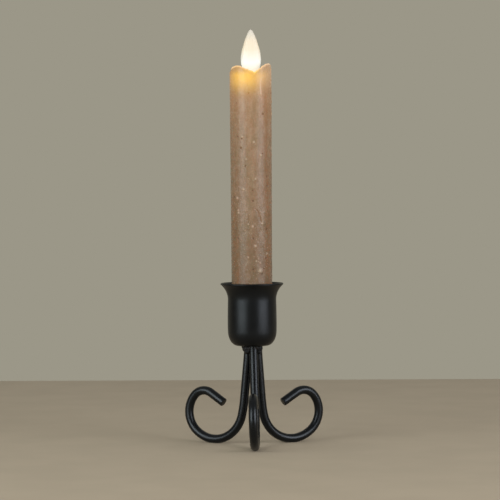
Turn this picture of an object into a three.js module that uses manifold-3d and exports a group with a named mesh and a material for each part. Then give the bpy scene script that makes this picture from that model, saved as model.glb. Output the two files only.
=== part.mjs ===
// A three-legged scroll holder for one taper candle, with the battery candle that stands in its cup.
// Millimetres, +Z up. The origin is on the surface that the feet rest on, at the middle of the footprint.
import * as THREE from "three";
import { mergeVertices } from "three/addons/utils/BufferGeometryUtils.js";
import Module from "manifold-3d";

const wasm = await Module();
wasm.setup();

// Driving dimensions of the holder
const gap = 0.3; // between pieces that touch on the real object
const rodRadius = 2.35;
const legTopRadius = 2.88; // from the bundle's middle to the rod's centre, at the height of the cup's underside
const legBends = [
  { straight: 1.9 },
  { radius: 60, turn: 5.3 },
  { straight: 22.9 },
  { radius: 64.4, turn: 7.6 },
  { radius: 17.7, turn: 115.5 },
  { radius: 13.4, turn: 93.5 },
  { radius: 8.2, turn: 79.2 },
  { straight: 9.5 },
];
const footFlat = 0.2; // how much is taken off under each scroll, so that it stands flat
const legPivot = 60; // height about which each rod was welded a little askew
const legSideLean = 1.5; // degrees, the same way round for all three
const legAside = 0.45; // how far to the right of the candle's axis the bundle of rods was welded
const legs = [
  { name: "leg_front", bearing: 269.7 },
  { name: "leg_right", bearing: 27.4 },
  { name: "leg_left", bearing: 151.3 },
];
const axisBehind = 10.24; // three legs reach further forwards than back, so the axis stands behind the middle
const cupBottom = 53.5;
const cupWall = 1;
const cupCorner = { width: 5.2, height: 8 };
const cupRadius = 13.06;
const cupBelly = 13.17;
const cupNeck = { radius: 12.93, height: 78.1 };
const cupFlare = { radius: 10.56, turn: 49.7 };
const weldTop = cupBottom - gap;
const weldCover = 0.5; // how thick the weld lies over the rods' ends
const weldBeads = [
  // the lumps of the weld: where each lies round the axis, how far below the cup, and how thick it is
  { bearing: 200, out: 3.6, below: 0.2, radius: 2.35 },
  { bearing: 207, out: 3.6, below: 1.6, radius: 2.1 },
  { bearing: 214, out: 3.5, below: 2.8, radius: 1.55 },
  { bearing: 228, out: 4.1, below: 1.2, radius: 2.1 },
  { bearing: 232, out: 4.2, below: 2.6, radius: 1.5 },
  { bearing: 300, out: 3.7, below: 0.7, radius: 1.9 },
  { bearing: 330, out: 4.1, below: 1.2, radius: 2.1 },
  { bearing: 332, out: 4.1, below: 3, radius: 1.6 },
  { bearing: 92, out: 3.1, below: 0.6, radius: 2.8 },
  { bearing: 84, out: 3.4, below: 2.8, radius: 1.5 },
];

// Driving dimensions of the candle
const waxBottom = 60;
const waxFootRadius = 10.8;
const waxHeadRadius = 11.15;
const waxBore = 8.5;
const waxRimBore = 9.7;
const waxMeltStart = 192; // above this height the wall thins, and its rim rises and falls
const waxRimMean = 202;
const waxRim = [
  // bearing in degrees and height above or below the mean, going round once
  [0, 1.7],
  [20, 0.4],
  [36, -0.6],
  [74, -1.6],
  [108, -0.2],
  [144, -0.4],
  [180, -0.9],
  [203, 0.3],
  [226, 0.8],
  [238, 0.6],
  [248, -0.35],
  [260, -1.1],
  [273, -2],
  [284, -2.75],
  [291, -1.9],
  [300, -0.8],
  [312, 0.6],
  [326, 1.65],
  [342, 1.95],
];
const tubeRadius = 8.1;
const tubeBore = 7;
const tubeTop = 189.9;
const capFoot = 54.8; // the lowest point of the candle, just clear of the cup's floor
const capFlange = 59.7;
const capPlugRadius = 6.7;
const capTop = 64;
const batteryRadius = 5.25;
const batteryLength = 44.5;
const batteryNub = { radius: 1.9, height: 0.8 };
const batteryBottom = 67;
const boardBottom = 159.2;
const boardThickness = 1.2;
const coverBottom = 190.2;
const coverThickness = 1.4;
const pivotHeight = 188.3;
const wireRadius = 0.4;
const ledBearing = 245;
const ledOut = 4.9;
const ledRadius = 1.5;
const flameTip = 222.3;
const flameShift = 0.25; // how far the flame hangs to the right of the candle's axis
const flameDepth = 0.5; // thickness front to back, as a share of the width
const flameOutline = [
  // height and half width, from the neck to just under the tip
  [191.2, 1.3],
  [194, 2.0],
  [197, 3],
  [200.1, 4],
  [202.4, 4.8],
  [204.6, 5.25],
  [207, 5.35],
  [210.3, 4.95],
  [213.7, 4.05],
  [217.2, 2.95],
  [220.4, 1.6],
  [221.9, 0.75],
];

const radians = THREE.MathUtils.degToRad;

// A rod's centreline in the XZ plane: it starts upright at the top, runs downwards and curls outwards.
// Its bend list is walked by length, so equal steps of t are equal steps along the rod.
class BentRod extends THREE.Curve {
  constructor(start, bends) {
    super();
    this.start = start;
    this.pieces = bends.map((bend) =>
      bend.straight
        ? { length: bend.straight, curvature: 0 }
        : { length: bend.radius * radians(bend.turn), curvature: 1 / bend.radius },
    );
    this.total = this.pieces.reduce((sum, piece) => sum + piece.length, 0);
  }

  getPoint(t, target = new THREE.Vector3()) {
    let left = t * this.total;
    let heading = 0;
    let [out, height] = this.start;
    for (const { length, curvature } of this.pieces) {
      const run = Math.min(left, length);
      const turned = heading + run * curvature;
      if (curvature) {
        out += (Math.cos(heading) - Math.cos(turned)) / curvature;
        height -= (Math.sin(turned) - Math.sin(heading)) / curvature;
      } else {
        out += run * Math.sin(heading);
        height -= run * Math.cos(heading);
      }
      heading = turned;
      left -= run;
    }
    return target.set(out, 0, height);
  }
}

// Solids and meshes
function solidOf(geometry) {
  const bare = geometry.clone();
  bare.deleteAttribute("normal");
  bare.deleteAttribute("uv");
  const merged = mergeVertices(bare, 1e-4);
  return new wasm.Manifold(
    new wasm.Mesh({
      numProp: 3,
      vertProperties: merged.attributes.position.array,
      triVerts: new Uint32Array(merged.index.array),
    }),
  );
}

function geometryOf(solid) {
  const { vertProperties, triVerts } = solid.getMesh();
  const geometry = new THREE.BufferGeometry();
  geometry.setAttribute("position", new THREE.BufferAttribute(vertProperties, 3));
  geometry.setIndex(new THREE.BufferAttribute(triVerts, 1));
  return geometry;
}

function cutAway(geometry, ...cutters) {
  const rest = cutters.reduce((solid, cutter) => solid.subtract(solidOf(cutter)), solidOf(geometry));
  return geometryOf(rest);
}

function joined(geometry, ...others) {
  const whole = others.reduce((solid, other) => solid.add(solidOf(other)), solidOf(geometry));
  return geometryOf(whole);
}

// A profile of [radius, height] pairs, turned round the Z axis
function turned(profile, segments = 32) {
  const points = profile.map(([radius, height]) => new THREE.Vector2(radius, height));
  return new THREE.LatheGeometry(points, segments).rotateX(Math.PI / 2);
}

function tube(inner, outer, bottom, top, segments = 32) {
  return turned(
    [
      [inner, bottom],
      [outer, bottom],
      [outer, top],
      [inner, top],
      [inner, bottom],
    ],
    segments,
  );
}

function disc(radius, bottom, top, segments = 32) {
  return turned(
    [
      [0, bottom],
      [radius, bottom],
      [radius, top],
      [0, top],
    ],
    segments,
  );
}

function block(width, depth, bottom, top, x = 0, y = 0) {
  return new THREE.BoxGeometry(width, depth, top - bottom).translate(x, y, (bottom + top) / 2);
}

// A round bar swept along a curve. Its flat sides touch the true round, so nothing is cut short.
function sweptBar(curve, radius, sides, steps) {
  const corner = radius / Math.cos(Math.PI / sides);
  const corners = Array.from({ length: sides }, (_, i) => {
    const angle = ((i + 0.5) * 2 * Math.PI) / sides;
    return new THREE.Vector2(corner * Math.cos(angle), corner * Math.sin(angle));
  });
  return new THREE.ExtrudeGeometry(new THREE.Shape(corners), {
    steps,
    bevelEnabled: false,
    extrudePath: curve,
  });
}

// A ring sector round the Z axis, between two bearings in degrees
function sector(inner, outer, bottom, top, from, to, parts = 4) {
  const shape = new THREE.Shape();
  const place = (radius, bearing) => [radius * Math.cos(radians(bearing)), radius * Math.sin(radians(bearing))];
  shape.moveTo(...place(inner, from));
  for (let i = 0; i <= parts; i++) shape.lineTo(...place(outer, from + ((to - from) * i) / parts));
  for (let i = parts; i > 0; i--) shape.lineTo(...place(inner, from + ((to - from) * i) / parts));
  return new THREE.ExtrudeGeometry(shape, { depth: top - bottom, bevelEnabled: false }).translate(0, 0, bottom);
}

function finish(color, roughness, metalness = 0, extra = {}) {
  return new THREE.MeshStandardMaterial({ color, roughness, metalness, ...extra });
}

const blackCoat = finish(0x1b1c1d, 0.45, 0.2);
const wax = finish(0x9a7b60, 0.5);
const milkyPlastic = finish(0xf6ecd2, 0.35, 0, { emissive: 0xffdf9a });
const ivoryPlastic = finish(0xd8cdb8, 0.5);
const steel = finish(0xb9bbbd, 0.3, 1);
const copper = finish(0xb06a3a, 0.35, 1);
const boardGreen = finish(0x1f5a3a, 0.55);
const darkPlastic = finish(0x222324, 0.5);
const clearEpoxy = finish(0xf3e2b0, 0.2);
const batteryJacket = finish(0x6d7378, 0.35, 0.6);

function mesh(name, geometry, material) {
  const made = new THREE.Mesh(geometry, material);
  made.name = name;
  return made;
}

// Holder
const legPath = new BentRod([legTopRadius, 0], legBends);
const legLowest = Math.min(...legPath.getSpacedPoints(400).map((point) => point.z));
const legTop = rodRadius - footFlat - legLowest; // the surface then takes a flat off each scroll

// Turns a leg's geometry from its own plane to its place in the bundle
function setLeg(geometry, { bearing }) {
  return geometry
    .translate(0, 0, legTop - legPivot)
    .rotateX(radians(legSideLean))
    .translate(0, 0, legPivot)
    .rotateZ(radians(bearing))
    .translate(legAside, 0, 0);
}

function leg(place) {
  const bar = setLeg(sweptBar(legPath, rodRadius, 12, 64), place);
  const underfloor = block(120, 120, -10, 0);
  const insideWeld = block(20, 20, weldTop - weldCover - gap, cupBottom + 10);
  return mesh(place.name, cutAway(bar, underfloor, insideWeld), blackCoat);
}

function cup() {
  const outer = new THREE.Path();
  const { width, height } = cupCorner;
  const cornerCentre = [cupRadius - width, cupBottom + height];
  const flareCentre = [cupNeck.radius + cupFlare.radius, cupNeck.height];
  const flareEnd = Math.PI - radians(cupFlare.turn);
  const lipCentre = [
    flareCentre[0] + (cupFlare.radius + cupWall / 2) * Math.cos(flareEnd),
    flareCentre[1] + (cupFlare.radius + cupWall / 2) * Math.sin(flareEnd),
  ];
  outer.moveTo(0, cupBottom);
  outer.lineTo(cornerCentre[0], cupBottom);
  outer.absellipse(...cornerCentre, width, height, -Math.PI / 2, 0, false);
  outer.splineThru([
    new THREE.Vector2(cupBelly, cupBottom + 13.3),
    new THREE.Vector2(cupNeck.radius, cupNeck.height),
  ]);
  outer.absarc(...flareCentre, cupFlare.radius, Math.PI, flareEnd, true);
  outer.absarc(...lipCentre, cupWall / 2, flareEnd - Math.PI, flareEnd, false);
  outer.absarc(...flareCentre, cupFlare.radius + cupWall, flareEnd, Math.PI, false);
  outer.absellipse(...cornerCentre, width - cupWall, height - cupWall, 0, -Math.PI / 2, true);
  outer.lineTo(0, cupBottom + cupWall);
  const profile = outer.getPoints(3).map((point) => [Math.max(point.x, 0), point.y]);
  return mesh("candle_cup", turned(profile, 40), blackCoat);
}

// The weld that joins the three rods to each other and to the cup: a short cone with lumps between and before the rods
function weld() {
  const cone = turned(
    [
      [0, weldTop - 4.4],
      [3.7, weldTop - 4.4],
      [4.4, weldTop - 2.2],
      [4.9, weldTop],
      [0, weldTop],
    ],
    24,
  );
  const beads = weldBeads.map(({ bearing, out, below, radius }) =>
    new THREE.SphereGeometry(radius, 16, 10)
      .rotateX(Math.PI / 2)
      .translate(out * Math.cos(radians(bearing)), out * Math.sin(radians(bearing)), weldTop - below),
  );
  const stem = new THREE.LineCurve3(legPath.getPoint(0), legPath.getPoint(0.06));
  const run = stem.v2.clone().sub(stem.v1);
  stem.v1.addScaledVector(run, -0.3);
  stem.v2.addScaledVector(run, 0.3);
  const cover = block(40, 40, weldTop - weldCover, weldTop + 10);
  const channels = legs.map((place) => cutAway(setLeg(sweptBar(stem, rodRadius + gap, 12, 1), place), cover));
  const above = block(40, 40, weldTop, weldTop + 10);
  const body = cutAway(joined(cone, ...beads), above, ...channels);
  return mesh("weld_bead", body, blackCoat);
}

// Candle
const lastRim = waxRim[waxRim.length - 1];
const rimLoop = [[lastRim[0] - 360, lastRim[1]], ...waxRim, [waxRim[0][0] + 360, waxRim[0][1]]];

// Height of the melted rim above its mean, eased between the listed bearings
function rimRise(bearing) {
  const after = Math.max(
    1,
    rimLoop.findIndex(([angle]) => angle > bearing),
  );
  const [fromAngle, fromRise] = rimLoop[after - 1];
  const [toAngle, toRise] = rimLoop[after];
  const share = THREE.MathUtils.smoothstep(bearing, fromAngle, toAngle);
  return THREE.MathUtils.lerp(fromRise, toRise, share);
}

function waxSleeve() {
  const wallTop = waxRimMean - 0.7;
  const thinning = (share) => THREE.MathUtils.lerp(waxBore, waxRimBore, share);
  const profile = [
    [waxBore, waxBottom],
    [waxFootRadius - 0.4, waxBottom],
    [waxFootRadius, waxBottom + 0.4],
    [waxHeadRadius, waxMeltStart],
    [waxHeadRadius, waxMeltStart + 4],
    [waxHeadRadius, wallTop - 1.5],
    [waxHeadRadius - 0.2, wallTop],
    [waxHeadRadius - 0.6, waxRimMean],
    [waxRimBore + 0.3, waxRimMean],
    [waxRimBore, wallTop - 0.3],
    [thinning(0.75), wallTop - 3],
    [thinning(0.3), waxMeltStart + 3],
    [waxBore, waxMeltStart],
    [waxBore, waxBottom],
  ];
  const geometry = turned(profile, 48);
  const position = geometry.attributes.position;
  for (let i = 0; i < position.count; i++) {
    const height = position.getZ(i);
    const bearing = THREE.MathUtils.radToDeg(Math.atan2(position.getY(i), position.getX(i)));
    const share = THREE.MathUtils.smoothstep(height, waxMeltStart, waxRimMean - 1);
    position.setZ(i, height + share * rimRise((bearing + 360) % 360));
  }
  return mesh("wax_sleeve", geometry, wax);
}

// The plastic tube inside the wax. Two bayonet slots at its foot take the cap's lugs, and three ribs centre the batteries.
const lugHeight = [61.9, 63.1];
const lugHalfAngle = 6;
const capTwist = 40;
const lugBearings = [0, 180];

function coreTube() {
  const wall = tube(tubeBore, tubeRadius, waxBottom, tubeTop, 36);
  const slots = lugBearings.flatMap((bearing) => [
    sector(
      tubeBore - 1,
      tubeRadius + 1,
      lugHeight[0] - 0.4,
      lugHeight[1] + 0.4,
      bearing - lugHalfAngle - 4,
      bearing + capTwist + lugHalfAngle + 4,
      6,
    ),
    sector(
      tubeBore - 1,
      tubeRadius + 1,
      waxBottom - 1,
      lugHeight[1] + 0.4,
      bearing + capTwist - lugHalfAngle - 4,
      bearing + capTwist + lugHalfAngle + 4,
      2,
    ),
  ]);
  const wireHole = new THREE.CylinderGeometry(0.75, 0.75, 20, 12)
    .rotateZ(Math.PI / 2)
    .translate(0, 0, pivotHeight);
  const ribTop = batteryBottom + 2 * batteryLength;
  const ribs = [30, 150, 270].map((bearing) =>
    block(tubeBore - batteryRadius, 1, batteryBottom, ribTop, (tubeBore + batteryRadius) / 2 + 0.4).rotateZ(
      radians(bearing),
    ),
  );
  return mesh("core_tube", joined(cutAway(wall, ...slots, wireHole), ...ribs), ivoryPlastic);
}

// The disc at the bottom of the melt well, with a slot for the flame and a hole for the light
function flameCover() {
  const top = coverBottom + coverThickness;
  const plate = disc(tubeRadius, coverBottom, top, 36);
  const slot = block(6.6, 4.4, coverBottom - 1, top + 1);
  const lightHole = disc(ledRadius + gap, coverBottom - 1, top + 1, 16).translate(...ledPlace, 0);
  return mesh("flame_cover", cutAway(plate, slot, lightHole), wax);
}

const ledPlace = [ledOut * Math.cos(radians(ledBearing)), ledOut * Math.sin(radians(ledBearing))];
const boardTop = boardBottom + boardThickness;

function led() {
  const shoulder = coverBottom + 0.6;
  const lamp = turned(
    [
      [0, shoulder - 5.4],
      [ledRadius, shoulder - 5.4],
      [ledRadius, shoulder],
      [ledRadius * 0.8, shoulder + 0.9],
      [ledRadius * 0.4, shoulder + 1.35],
      [0, shoulder + 1.5],
    ],
    16,
  ).translate(...ledPlace, 0);
  const leads = [-9, 9].map((aside) => {
    const bearing = radians(ledBearing + aside);
    return block(0.5, 0.5, boardTop + gap, shoulder - 5, 5.8 * Math.cos(bearing), 5.8 * Math.sin(bearing));
  });
  return mesh("light", joined(lamp, ...leads), clearEpoxy);
}

function flame() {
  const blade = turned(
    [[0, flameOutline[0][0]], ...flameOutline.map(([height, half]) => [half, height]), [0, flameTip]],
    24,
  )
    .scale(1, flameDepth, 1)
    .translate(flameShift, 0, 0);
  const tail = block(4.8, 2.6, 173, 196);
  const wireHole = new THREE.CylinderGeometry(0.75, 0.75, 12, 12)
    .rotateZ(Math.PI / 2)
    .translate(0, 0, pivotHeight);
  return mesh("flame", cutAway(joined(blade, tail), wireHole), milkyPlastic);
}

function pivotWire() {
  const wire = new THREE.CylinderGeometry(wireRadius, wireRadius, 2 * tubeRadius - 0.6, 10);
  return mesh("pivot_wire", wire.rotateZ(Math.PI / 2).translate(0, 0, pivotHeight), steel);
}

function battery(name, bottom) {
  const shoulder = bottom + batteryLength - batteryNub.height;
  const can = turned(
    [
      [0, bottom],
      [batteryRadius - 0.4, bottom],
      [batteryRadius, bottom + 0.4],
      [batteryRadius, shoulder - 0.4],
      [batteryRadius - 0.4, shoulder],
      [batteryNub.radius, shoulder],
      [batteryNub.radius, shoulder + batteryNub.height],
      [0, shoulder + batteryNub.height],
    ],
    28,
  );
  return mesh(name, can, batteryJacket);
}

// The cone spring that presses the batteries up: its turns shrink from the plate to the battery
class ConeSpring extends THREE.Curve {
  constructor(bottom, top, wide, narrow, turns) {
    super();
    Object.assign(this, { bottom, top, wide, narrow, turns });
  }

  getPoint(t, target = new THREE.Vector3()) {
    const angle = 2 * Math.PI * this.turns * t;
    const radius = THREE.MathUtils.lerp(this.wide, this.narrow, t);
    const height = THREE.MathUtils.lerp(this.bottom, this.top, t);
    return target.set(radius * Math.cos(angle), radius * Math.sin(angle), height);
  }
}

const plateBottom = 61.6;
const plateTop = 62.1;
const springWire = 0.35;

function batterySpring() {
  const path = new ConeSpring(plateTop + gap + 0.4, batteryBottom - gap - 0.4, 4.2, 2.6, 3.5);
  return mesh("battery_spring", sweptBar(path, springWire, 6, 36), steel);
}

const switchRecess = { width: 6.4, depth: 3.6, top: 56.8 };
const switchSlot = { width: 5, depth: 2, top: 57.8 };
const knobStart = -1.5;

function baseCap() {
  const body = turned(
    [
      [0, capFoot],
      [6.6, capFoot],
      [9.4, capFoot + 2.4],
      [9.4, capFlange],
      [capPlugRadius, capFlange],
      [capPlugRadius, capTop],
      [5.6, capTop],
      [5.6, switchSlot.top],
      [0, switchSlot.top],
    ],
    36,
  );
  const lugs = lugBearings.map((bearing) =>
    sector(capPlugRadius - 0.5, tubeRadius - 0.4, ...lugHeight, bearing - lugHalfAngle, bearing + lugHalfAngle, 2),
  );
  const recess = block(switchRecess.width, switchRecess.depth, capFoot - 1, switchRecess.top);
  const slot = block(switchSlot.width, switchSlot.depth, switchRecess.top - 1, switchSlot.top + 1);
  return mesh("base_cap", cutAway(joined(body, ...lugs), recess, slot), ivoryPlastic);
}

function switchBody() {
  const shell = block(7, 4.4, switchSlot.top + gap, plateBottom - gap);
  const groove = block(switchSlot.width, switchSlot.depth, switchSlot.top, switchSlot.top + 1.9);
  return mesh("switch_body", cutAway(shell, groove), darkPlastic);
}

function switchKnob() {
  const pad = block(2.6, 2.8, capFoot + gap, switchRecess.top - 0.4, knobStart);
  const stem = block(1.2, 1.2, switchRecess.top - 1, switchSlot.top + 1.3, knobStart);
  const grooves = [-0.7, 0, 0.7].map((x) => block(0.3, 4, capFoot, capFoot + gap + 0.3, knobStart + x));
  return mesh("switch_knob", cutAway(joined(pad, stem), ...grooves), darkPlastic);
}

function electronics() {
  const chip = block(2.6, 3.4, boardBottom - gap - 1.2, boardBottom - gap, 4.6);
  return [
    mesh("circuit_board", disc(6.7, boardBottom, boardTop, 28), boardGreen),
    mesh("control_chip", chip, darkPlastic),
    mesh("top_contact", disc(2.6, boardBottom - gap - 2.1, boardBottom - gap, 20), steel),
    mesh("drive_coil", tube(1.3, 5, boardTop + gap, boardTop + 5, 28), copper),
    mesh("coil_core", disc(1, boardTop + gap, boardTop + 5.6, 14), steel),
    mesh("contact_strip", block(2, gap, capTop + 0.5, boardBottom - gap, 0, 6.35), steel),
    led(),
  ];
}

const upperBatteryBottom = batteryBottom + batteryLength + gap;
const object = new THREE.Group();
object.position.y = axisBehind;

const holder = new THREE.Group();
holder.add(cup(), weld(), ...legs.map(leg));

const candle = new THREE.Group();
candle.add(
  waxSleeve(),
  coreTube(),
  flameCover(),
  pivotWire(),
  flame(),
  mesh("flame_magnet", disc(2.7, 167.4, 172.7, 20), steel),
  battery("battery_lower", batteryBottom),
  battery("battery_upper", upperBatteryBottom),
  ...electronics(),
  baseCap(),
  switchBody(),
  switchKnob(),
  mesh("spring_plate", disc(5.2, plateBottom, plateTop, 24), steel),
  batterySpring(),
);
object.add(holder, candle);

export default object;
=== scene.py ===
# Dresses a three-legged scroll holder and the battery taper candle that stands in its cup.
# Lengths are metres, written as millimetres times MM. Lists of places and profiles are in millimetres.
# Bearings are degrees round the candle's axis, and 270 is towards the viewer.
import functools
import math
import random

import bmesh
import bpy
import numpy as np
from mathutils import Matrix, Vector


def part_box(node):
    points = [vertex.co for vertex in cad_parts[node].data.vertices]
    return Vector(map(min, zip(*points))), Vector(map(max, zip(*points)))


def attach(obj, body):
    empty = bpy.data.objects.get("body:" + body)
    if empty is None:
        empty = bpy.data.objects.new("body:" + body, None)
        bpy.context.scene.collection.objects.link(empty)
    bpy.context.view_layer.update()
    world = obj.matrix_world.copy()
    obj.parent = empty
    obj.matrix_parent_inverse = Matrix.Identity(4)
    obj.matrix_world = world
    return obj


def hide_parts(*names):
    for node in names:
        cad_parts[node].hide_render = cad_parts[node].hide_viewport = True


bl_info = {
    "name": "Scroll Taper Holder",
    "version": (1, 0, 0),
    "blender": (4, 5, 0),
    "location": "3D View > Sidebar > Taper Holder",
    "description": "Models and finishes a scroll-legged taper holder with its battery candle",
    "category": "Object",
}

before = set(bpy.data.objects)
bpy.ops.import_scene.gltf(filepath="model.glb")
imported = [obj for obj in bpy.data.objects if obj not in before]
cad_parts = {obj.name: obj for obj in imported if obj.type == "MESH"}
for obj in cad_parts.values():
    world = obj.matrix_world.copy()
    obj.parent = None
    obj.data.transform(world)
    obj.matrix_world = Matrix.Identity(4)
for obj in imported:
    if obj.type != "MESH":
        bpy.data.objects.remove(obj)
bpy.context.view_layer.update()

MM = 0.001
PER_METRE = 1000
FULL_TURN = 2 * math.pi
MERGE_DISTANCE = 1e-6
LEAST_WEIGHT = 0.004

cup_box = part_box("candle_cup")
wax_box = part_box("wax_sleeve")
cover_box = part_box("flame_cover")
flame_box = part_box("flame")
light_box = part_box("light")
cap_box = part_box("base_cap")
knob_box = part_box("switch_knob")
cell_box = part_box("battery_lower")
coil_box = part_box("drive_coil")
cup_bottom = cup_box[0].z
AXIS = Vector(((cup_box[0].x + cup_box[1].x) / 2, (cup_box[0].y + cup_box[1].y) / 2, 0))
UP = Vector((0, 0, 1))


# Sizes and colours that a user may change
def number(name, description, default, **kind):
    return bpy.props.FloatProperty(name=name, description=description, default=default, **kind)


def length(name, description, millimetres):
    return number(name, description, millimetres * MM, unit="LENGTH")


def turn(name, description, degrees):
    return number(name, description, math.radians(degrees), subtype="ANGLE")


def colour(name, description, default):
    return bpy.props.FloatVectorProperty(
        name=name, description=description, default=default, subtype="COLOR", size=3, min=0, max=1
    )


class HolderSizes(bpy.types.PropertyGroup):
    rod_radius: length("Rod radius", "Radius of the three bent rods", 2.345)
    leg_top_out: length("Rods apart", "From the bundle's middle to a rod's centre, at the top", 2.88)
    leg_side_lean: turn("Rods askew", "How far each rod was welded out of true, to its side", 1.5)
    bundle_aside: length("Bundle aside", "How far the rods stand to the right of the cup's middle", 0.45)
    foot_flat: length("Foot flat", "Depth of the flat under each scroll", 0.2)
    cup_wall: length("Cup wall", "Thickness of the cup's sheet", 1)
    cup_radius: length("Cup radius", "Outer radius above the rounded bottom", 13.06)
    corner_width: length("Corner width", "Of the rounded bottom edge, sideways", 5.2)
    corner_height: length("Corner height", "Of the rounded bottom edge, upwards", 8)
    cup_belly: length("Cup belly", "Outer radius at half height", 13.17)
    cup_neck: length("Cup neck", "Outer radius under the flare", 12.93)
    neck_height: length("Neck height", "Height at which the flare starts", 78.1)
    flare_radius: length("Flare radius", "Radius of the curve that opens the lip", 10.56)
    flare_turn: turn("Flare turn", "How far the lip turns outwards", 49.7)


class CandleSizes(bpy.types.PropertyGroup):
    foot_radius: length("Foot radius", "Radius of the wax at its foot", 10.8)
    head_radius: length("Head radius", "Radius of the wax below its rim", 11.15)
    bore: length("Bore", "Inner radius of the wax, round the battery tube", 8.5)
    rim_bore: length("Rim bore", "Inner radius of the thin melted rim", 9.7)
    melt_start: length("Melt start", "Height of the bottom of the melted well", 192)
    rim_mean: length("Rim height", "Mean height of the melted rim", 202)
    pit_depth: length("Pit depth", "Depth of the pits that bubbles left in the wax", 0.42)
    bump_height: length("Bump height", "Height of the small lumps on the wax", 0.22)
    flame_depth: number("Flame depth", "Thickness of the flame as a share of its width", 0.5)
    flame_shift: length("Flame shift", "How far the flame hangs to the right", 0.25)


class FinishColours(bpy.types.PropertyGroup):
    paint: colour("Paint", "Satin black paint of the holder", (0.0058, 0.0068, 0.0081))
    wax_pale: colour("Pale wax", "Lightest patches of the wax", (0.238, 0.165, 0.108))
    wax_red: colour("Red wax", "Reddish patches of the wax", (0.2, 0.124, 0.074))
    wax_olive: colour("Olive wax", "Yellowish patches of the wax", (0.175, 0.12, 0.069))
    # Painted shade inside the pits and the small sunk flecks of the wax
    pit_shade: colour("Pit", "Inside of the pits", (0.07, 0.02, 0.006))
    # The wax's own reddish brown streaks, and the painted shade in the crease
    stain_and_crease_shade: colour("Stain", "Reddish brown streaks in the wax", (0.2, 0.1, 0.05))
    # Painted glint: the lumps, beads and ridge of the wax are painted lighter where they catch the light
    wax_lump: colour("Lump", "Small pale lumps on the wax", (0.62, 0.49, 0.37))
    wax_lit: colour("Lit wax", "Wax beside the lamp", (0.36, 0.2, 0.035))
    glow_near: colour("Glow", "Light through the wax beside the lamp", (0.7, 0.42, 0.03))
    glow_far: colour("Far glow", "Light that spreads down the wax", (0.35, 0.17, 0.07))
    glow_lip: colour("Lip glow", "Light through the thin rim of the wax", (0.37, 0.275, 0.185))
    glow_right: colour("Right glow", "Light of the flame through the rim's right", (0.11, 0.09, 0.065))
    flame: colour("Flame", "Milky plastic of the flame", (0.47, 0.44, 0.39))
    ivory: colour("Ivory plastic", "Battery tube and base cap", (0.66, 0.58, 0.45))
    dark_plastic: colour("Dark plastic", "Switch, chip and knob", (0.02, 0.02, 0.022))
    steel: colour("Steel", "Plated springs, contacts and wire", (0.6, 0.6, 0.61))
    copper: colour("Copper", "Enamelled wire of the coil", (0.55, 0.22, 0.09))
    board: colour("Board", "Lacquered circuit board", (0.015, 0.12, 0.05))
    epoxy: colour("Epoxy", "Body of the lamp", (0.9, 0.8, 0.55))
    jacket: colour("Battery jacket", "Plain sleeve of the batteries", (0.09, 0.13, 0.17))
    floor: colour("Floor", "Plain pale floor", (0.43, 0.36, 0.26))
    wall: colour("Wall", "Plain wall behind the floor", (0.328, 0.309, 0.246))


class StageSettings(bpy.types.PropertyGroup):
    camera_distance: length("Camera distance", "Along the floor, from the candle's axis", 1138.5)
    camera_height: length("Camera height", "Above the floor", 139.7)
    camera_azimuth: turn("Camera azimuth", "How far the camera stands to the right of the front", 1.69)
    camera_tilt: turn("Camera tilt", "How far the camera looks down", 1.764)
    camera_roll: turn("Camera roll", "Turn about the view line", -0.391)
    lens: number("Lens", "Focal length for a 36 mm sensor, in millimetres", 153.34)
    shift: number("Shift", "Sideways shift of the lens, as a share of the picture", -0.0034)
    left_side: turn("Left side", "Angle from the camera to the left light", 49)
    right_side: turn("Right side", "Angle from the camera to the right light", 53.5)
    softbox_distance: length("Softbox distance", "From the candle's axis", 1200)
    softbox_power: number("Softbox power", "Power of each softbox", 13.4, unit="POWER")
    fill_power: number("Fill power", "Power of the soft light in front", 11.5, unit="POWER")


# Modelling helpers, each one a step that is done by hand in the same way
def only(*pieces):
    """Selects these pieces and nothing else, with the first one active."""
    bpy.ops.object.select_all(action="DESELECT")
    for piece in pieces:
        piece.select_set(True)
    bpy.context.view_layer.objects.active = pieces[0]


def rename(piece, name):
    piece.name = name
    piece.data.name = name


def lay_place():
    """Lays the place, turn and scale of the selected piece into its mesh."""
    bpy.ops.object.transform_apply(location=True, rotation=True, scale=True)


def start(name, primitive, **settings):
    """Adds a primitive with nothing else selected, and lays its place into its mesh."""
    bpy.ops.object.select_all(action="DESELECT")
    getattr(bpy.ops.mesh, f"primitive_{primitive}_add")(**settings)
    piece = bpy.context.active_object
    rename(piece, name)
    lay_place()
    return piece


def edit(piece):
    """Enters edit mode with all of the piece selected."""
    only(piece)
    bpy.ops.object.mode_set(mode="EDIT")
    bpy.ops.mesh.select_mode(type="VERT")
    bpy.ops.mesh.select_all(action="SELECT")


def leave_edit():
    bpy.ops.object.mode_set(mode="OBJECT")


def select(piece, kind, test):
    """In edit mode, selects the edges or faces that pass a test, and nothing else."""
    bpy.ops.mesh.select_mode(type={"edges": "EDGE", "faces": "FACE"}[kind])
    bpy.ops.mesh.select_all(action="DESELECT")
    mesh = bmesh.from_edit_mesh(piece.data)
    for element in getattr(mesh, kind):
        if test(element):
            element.select_set(True)
    mesh.select_flush_mode()
    bmesh.update_edit_mesh(piece.data)


def extrude(move):
    bpy.ops.mesh.extrude_region_move(TRANSFORM_OT_translate={"value": move})


def clean():
    """In edit mode, closes seams and poles and turns all faces outwards."""
    bpy.ops.mesh.select_all(action="SELECT")
    bpy.ops.mesh.remove_doubles(threshold=MERGE_DISTANCE)
    bpy.ops.mesh.normals_make_consistent(inside=False)


def cut_flat(height, kept_side):
    """In edit mode, cuts a closed piece level at a height, keeps one side and closes the cut."""
    bpy.ops.mesh.select_all(action="SELECT")
    plane = {"plane_co": UP * height, "plane_no": kept_side}
    bpy.ops.mesh.bisect(**plane, use_fill=True, clear_inner=True, threshold=MERGE_DISTANCE)


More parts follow.
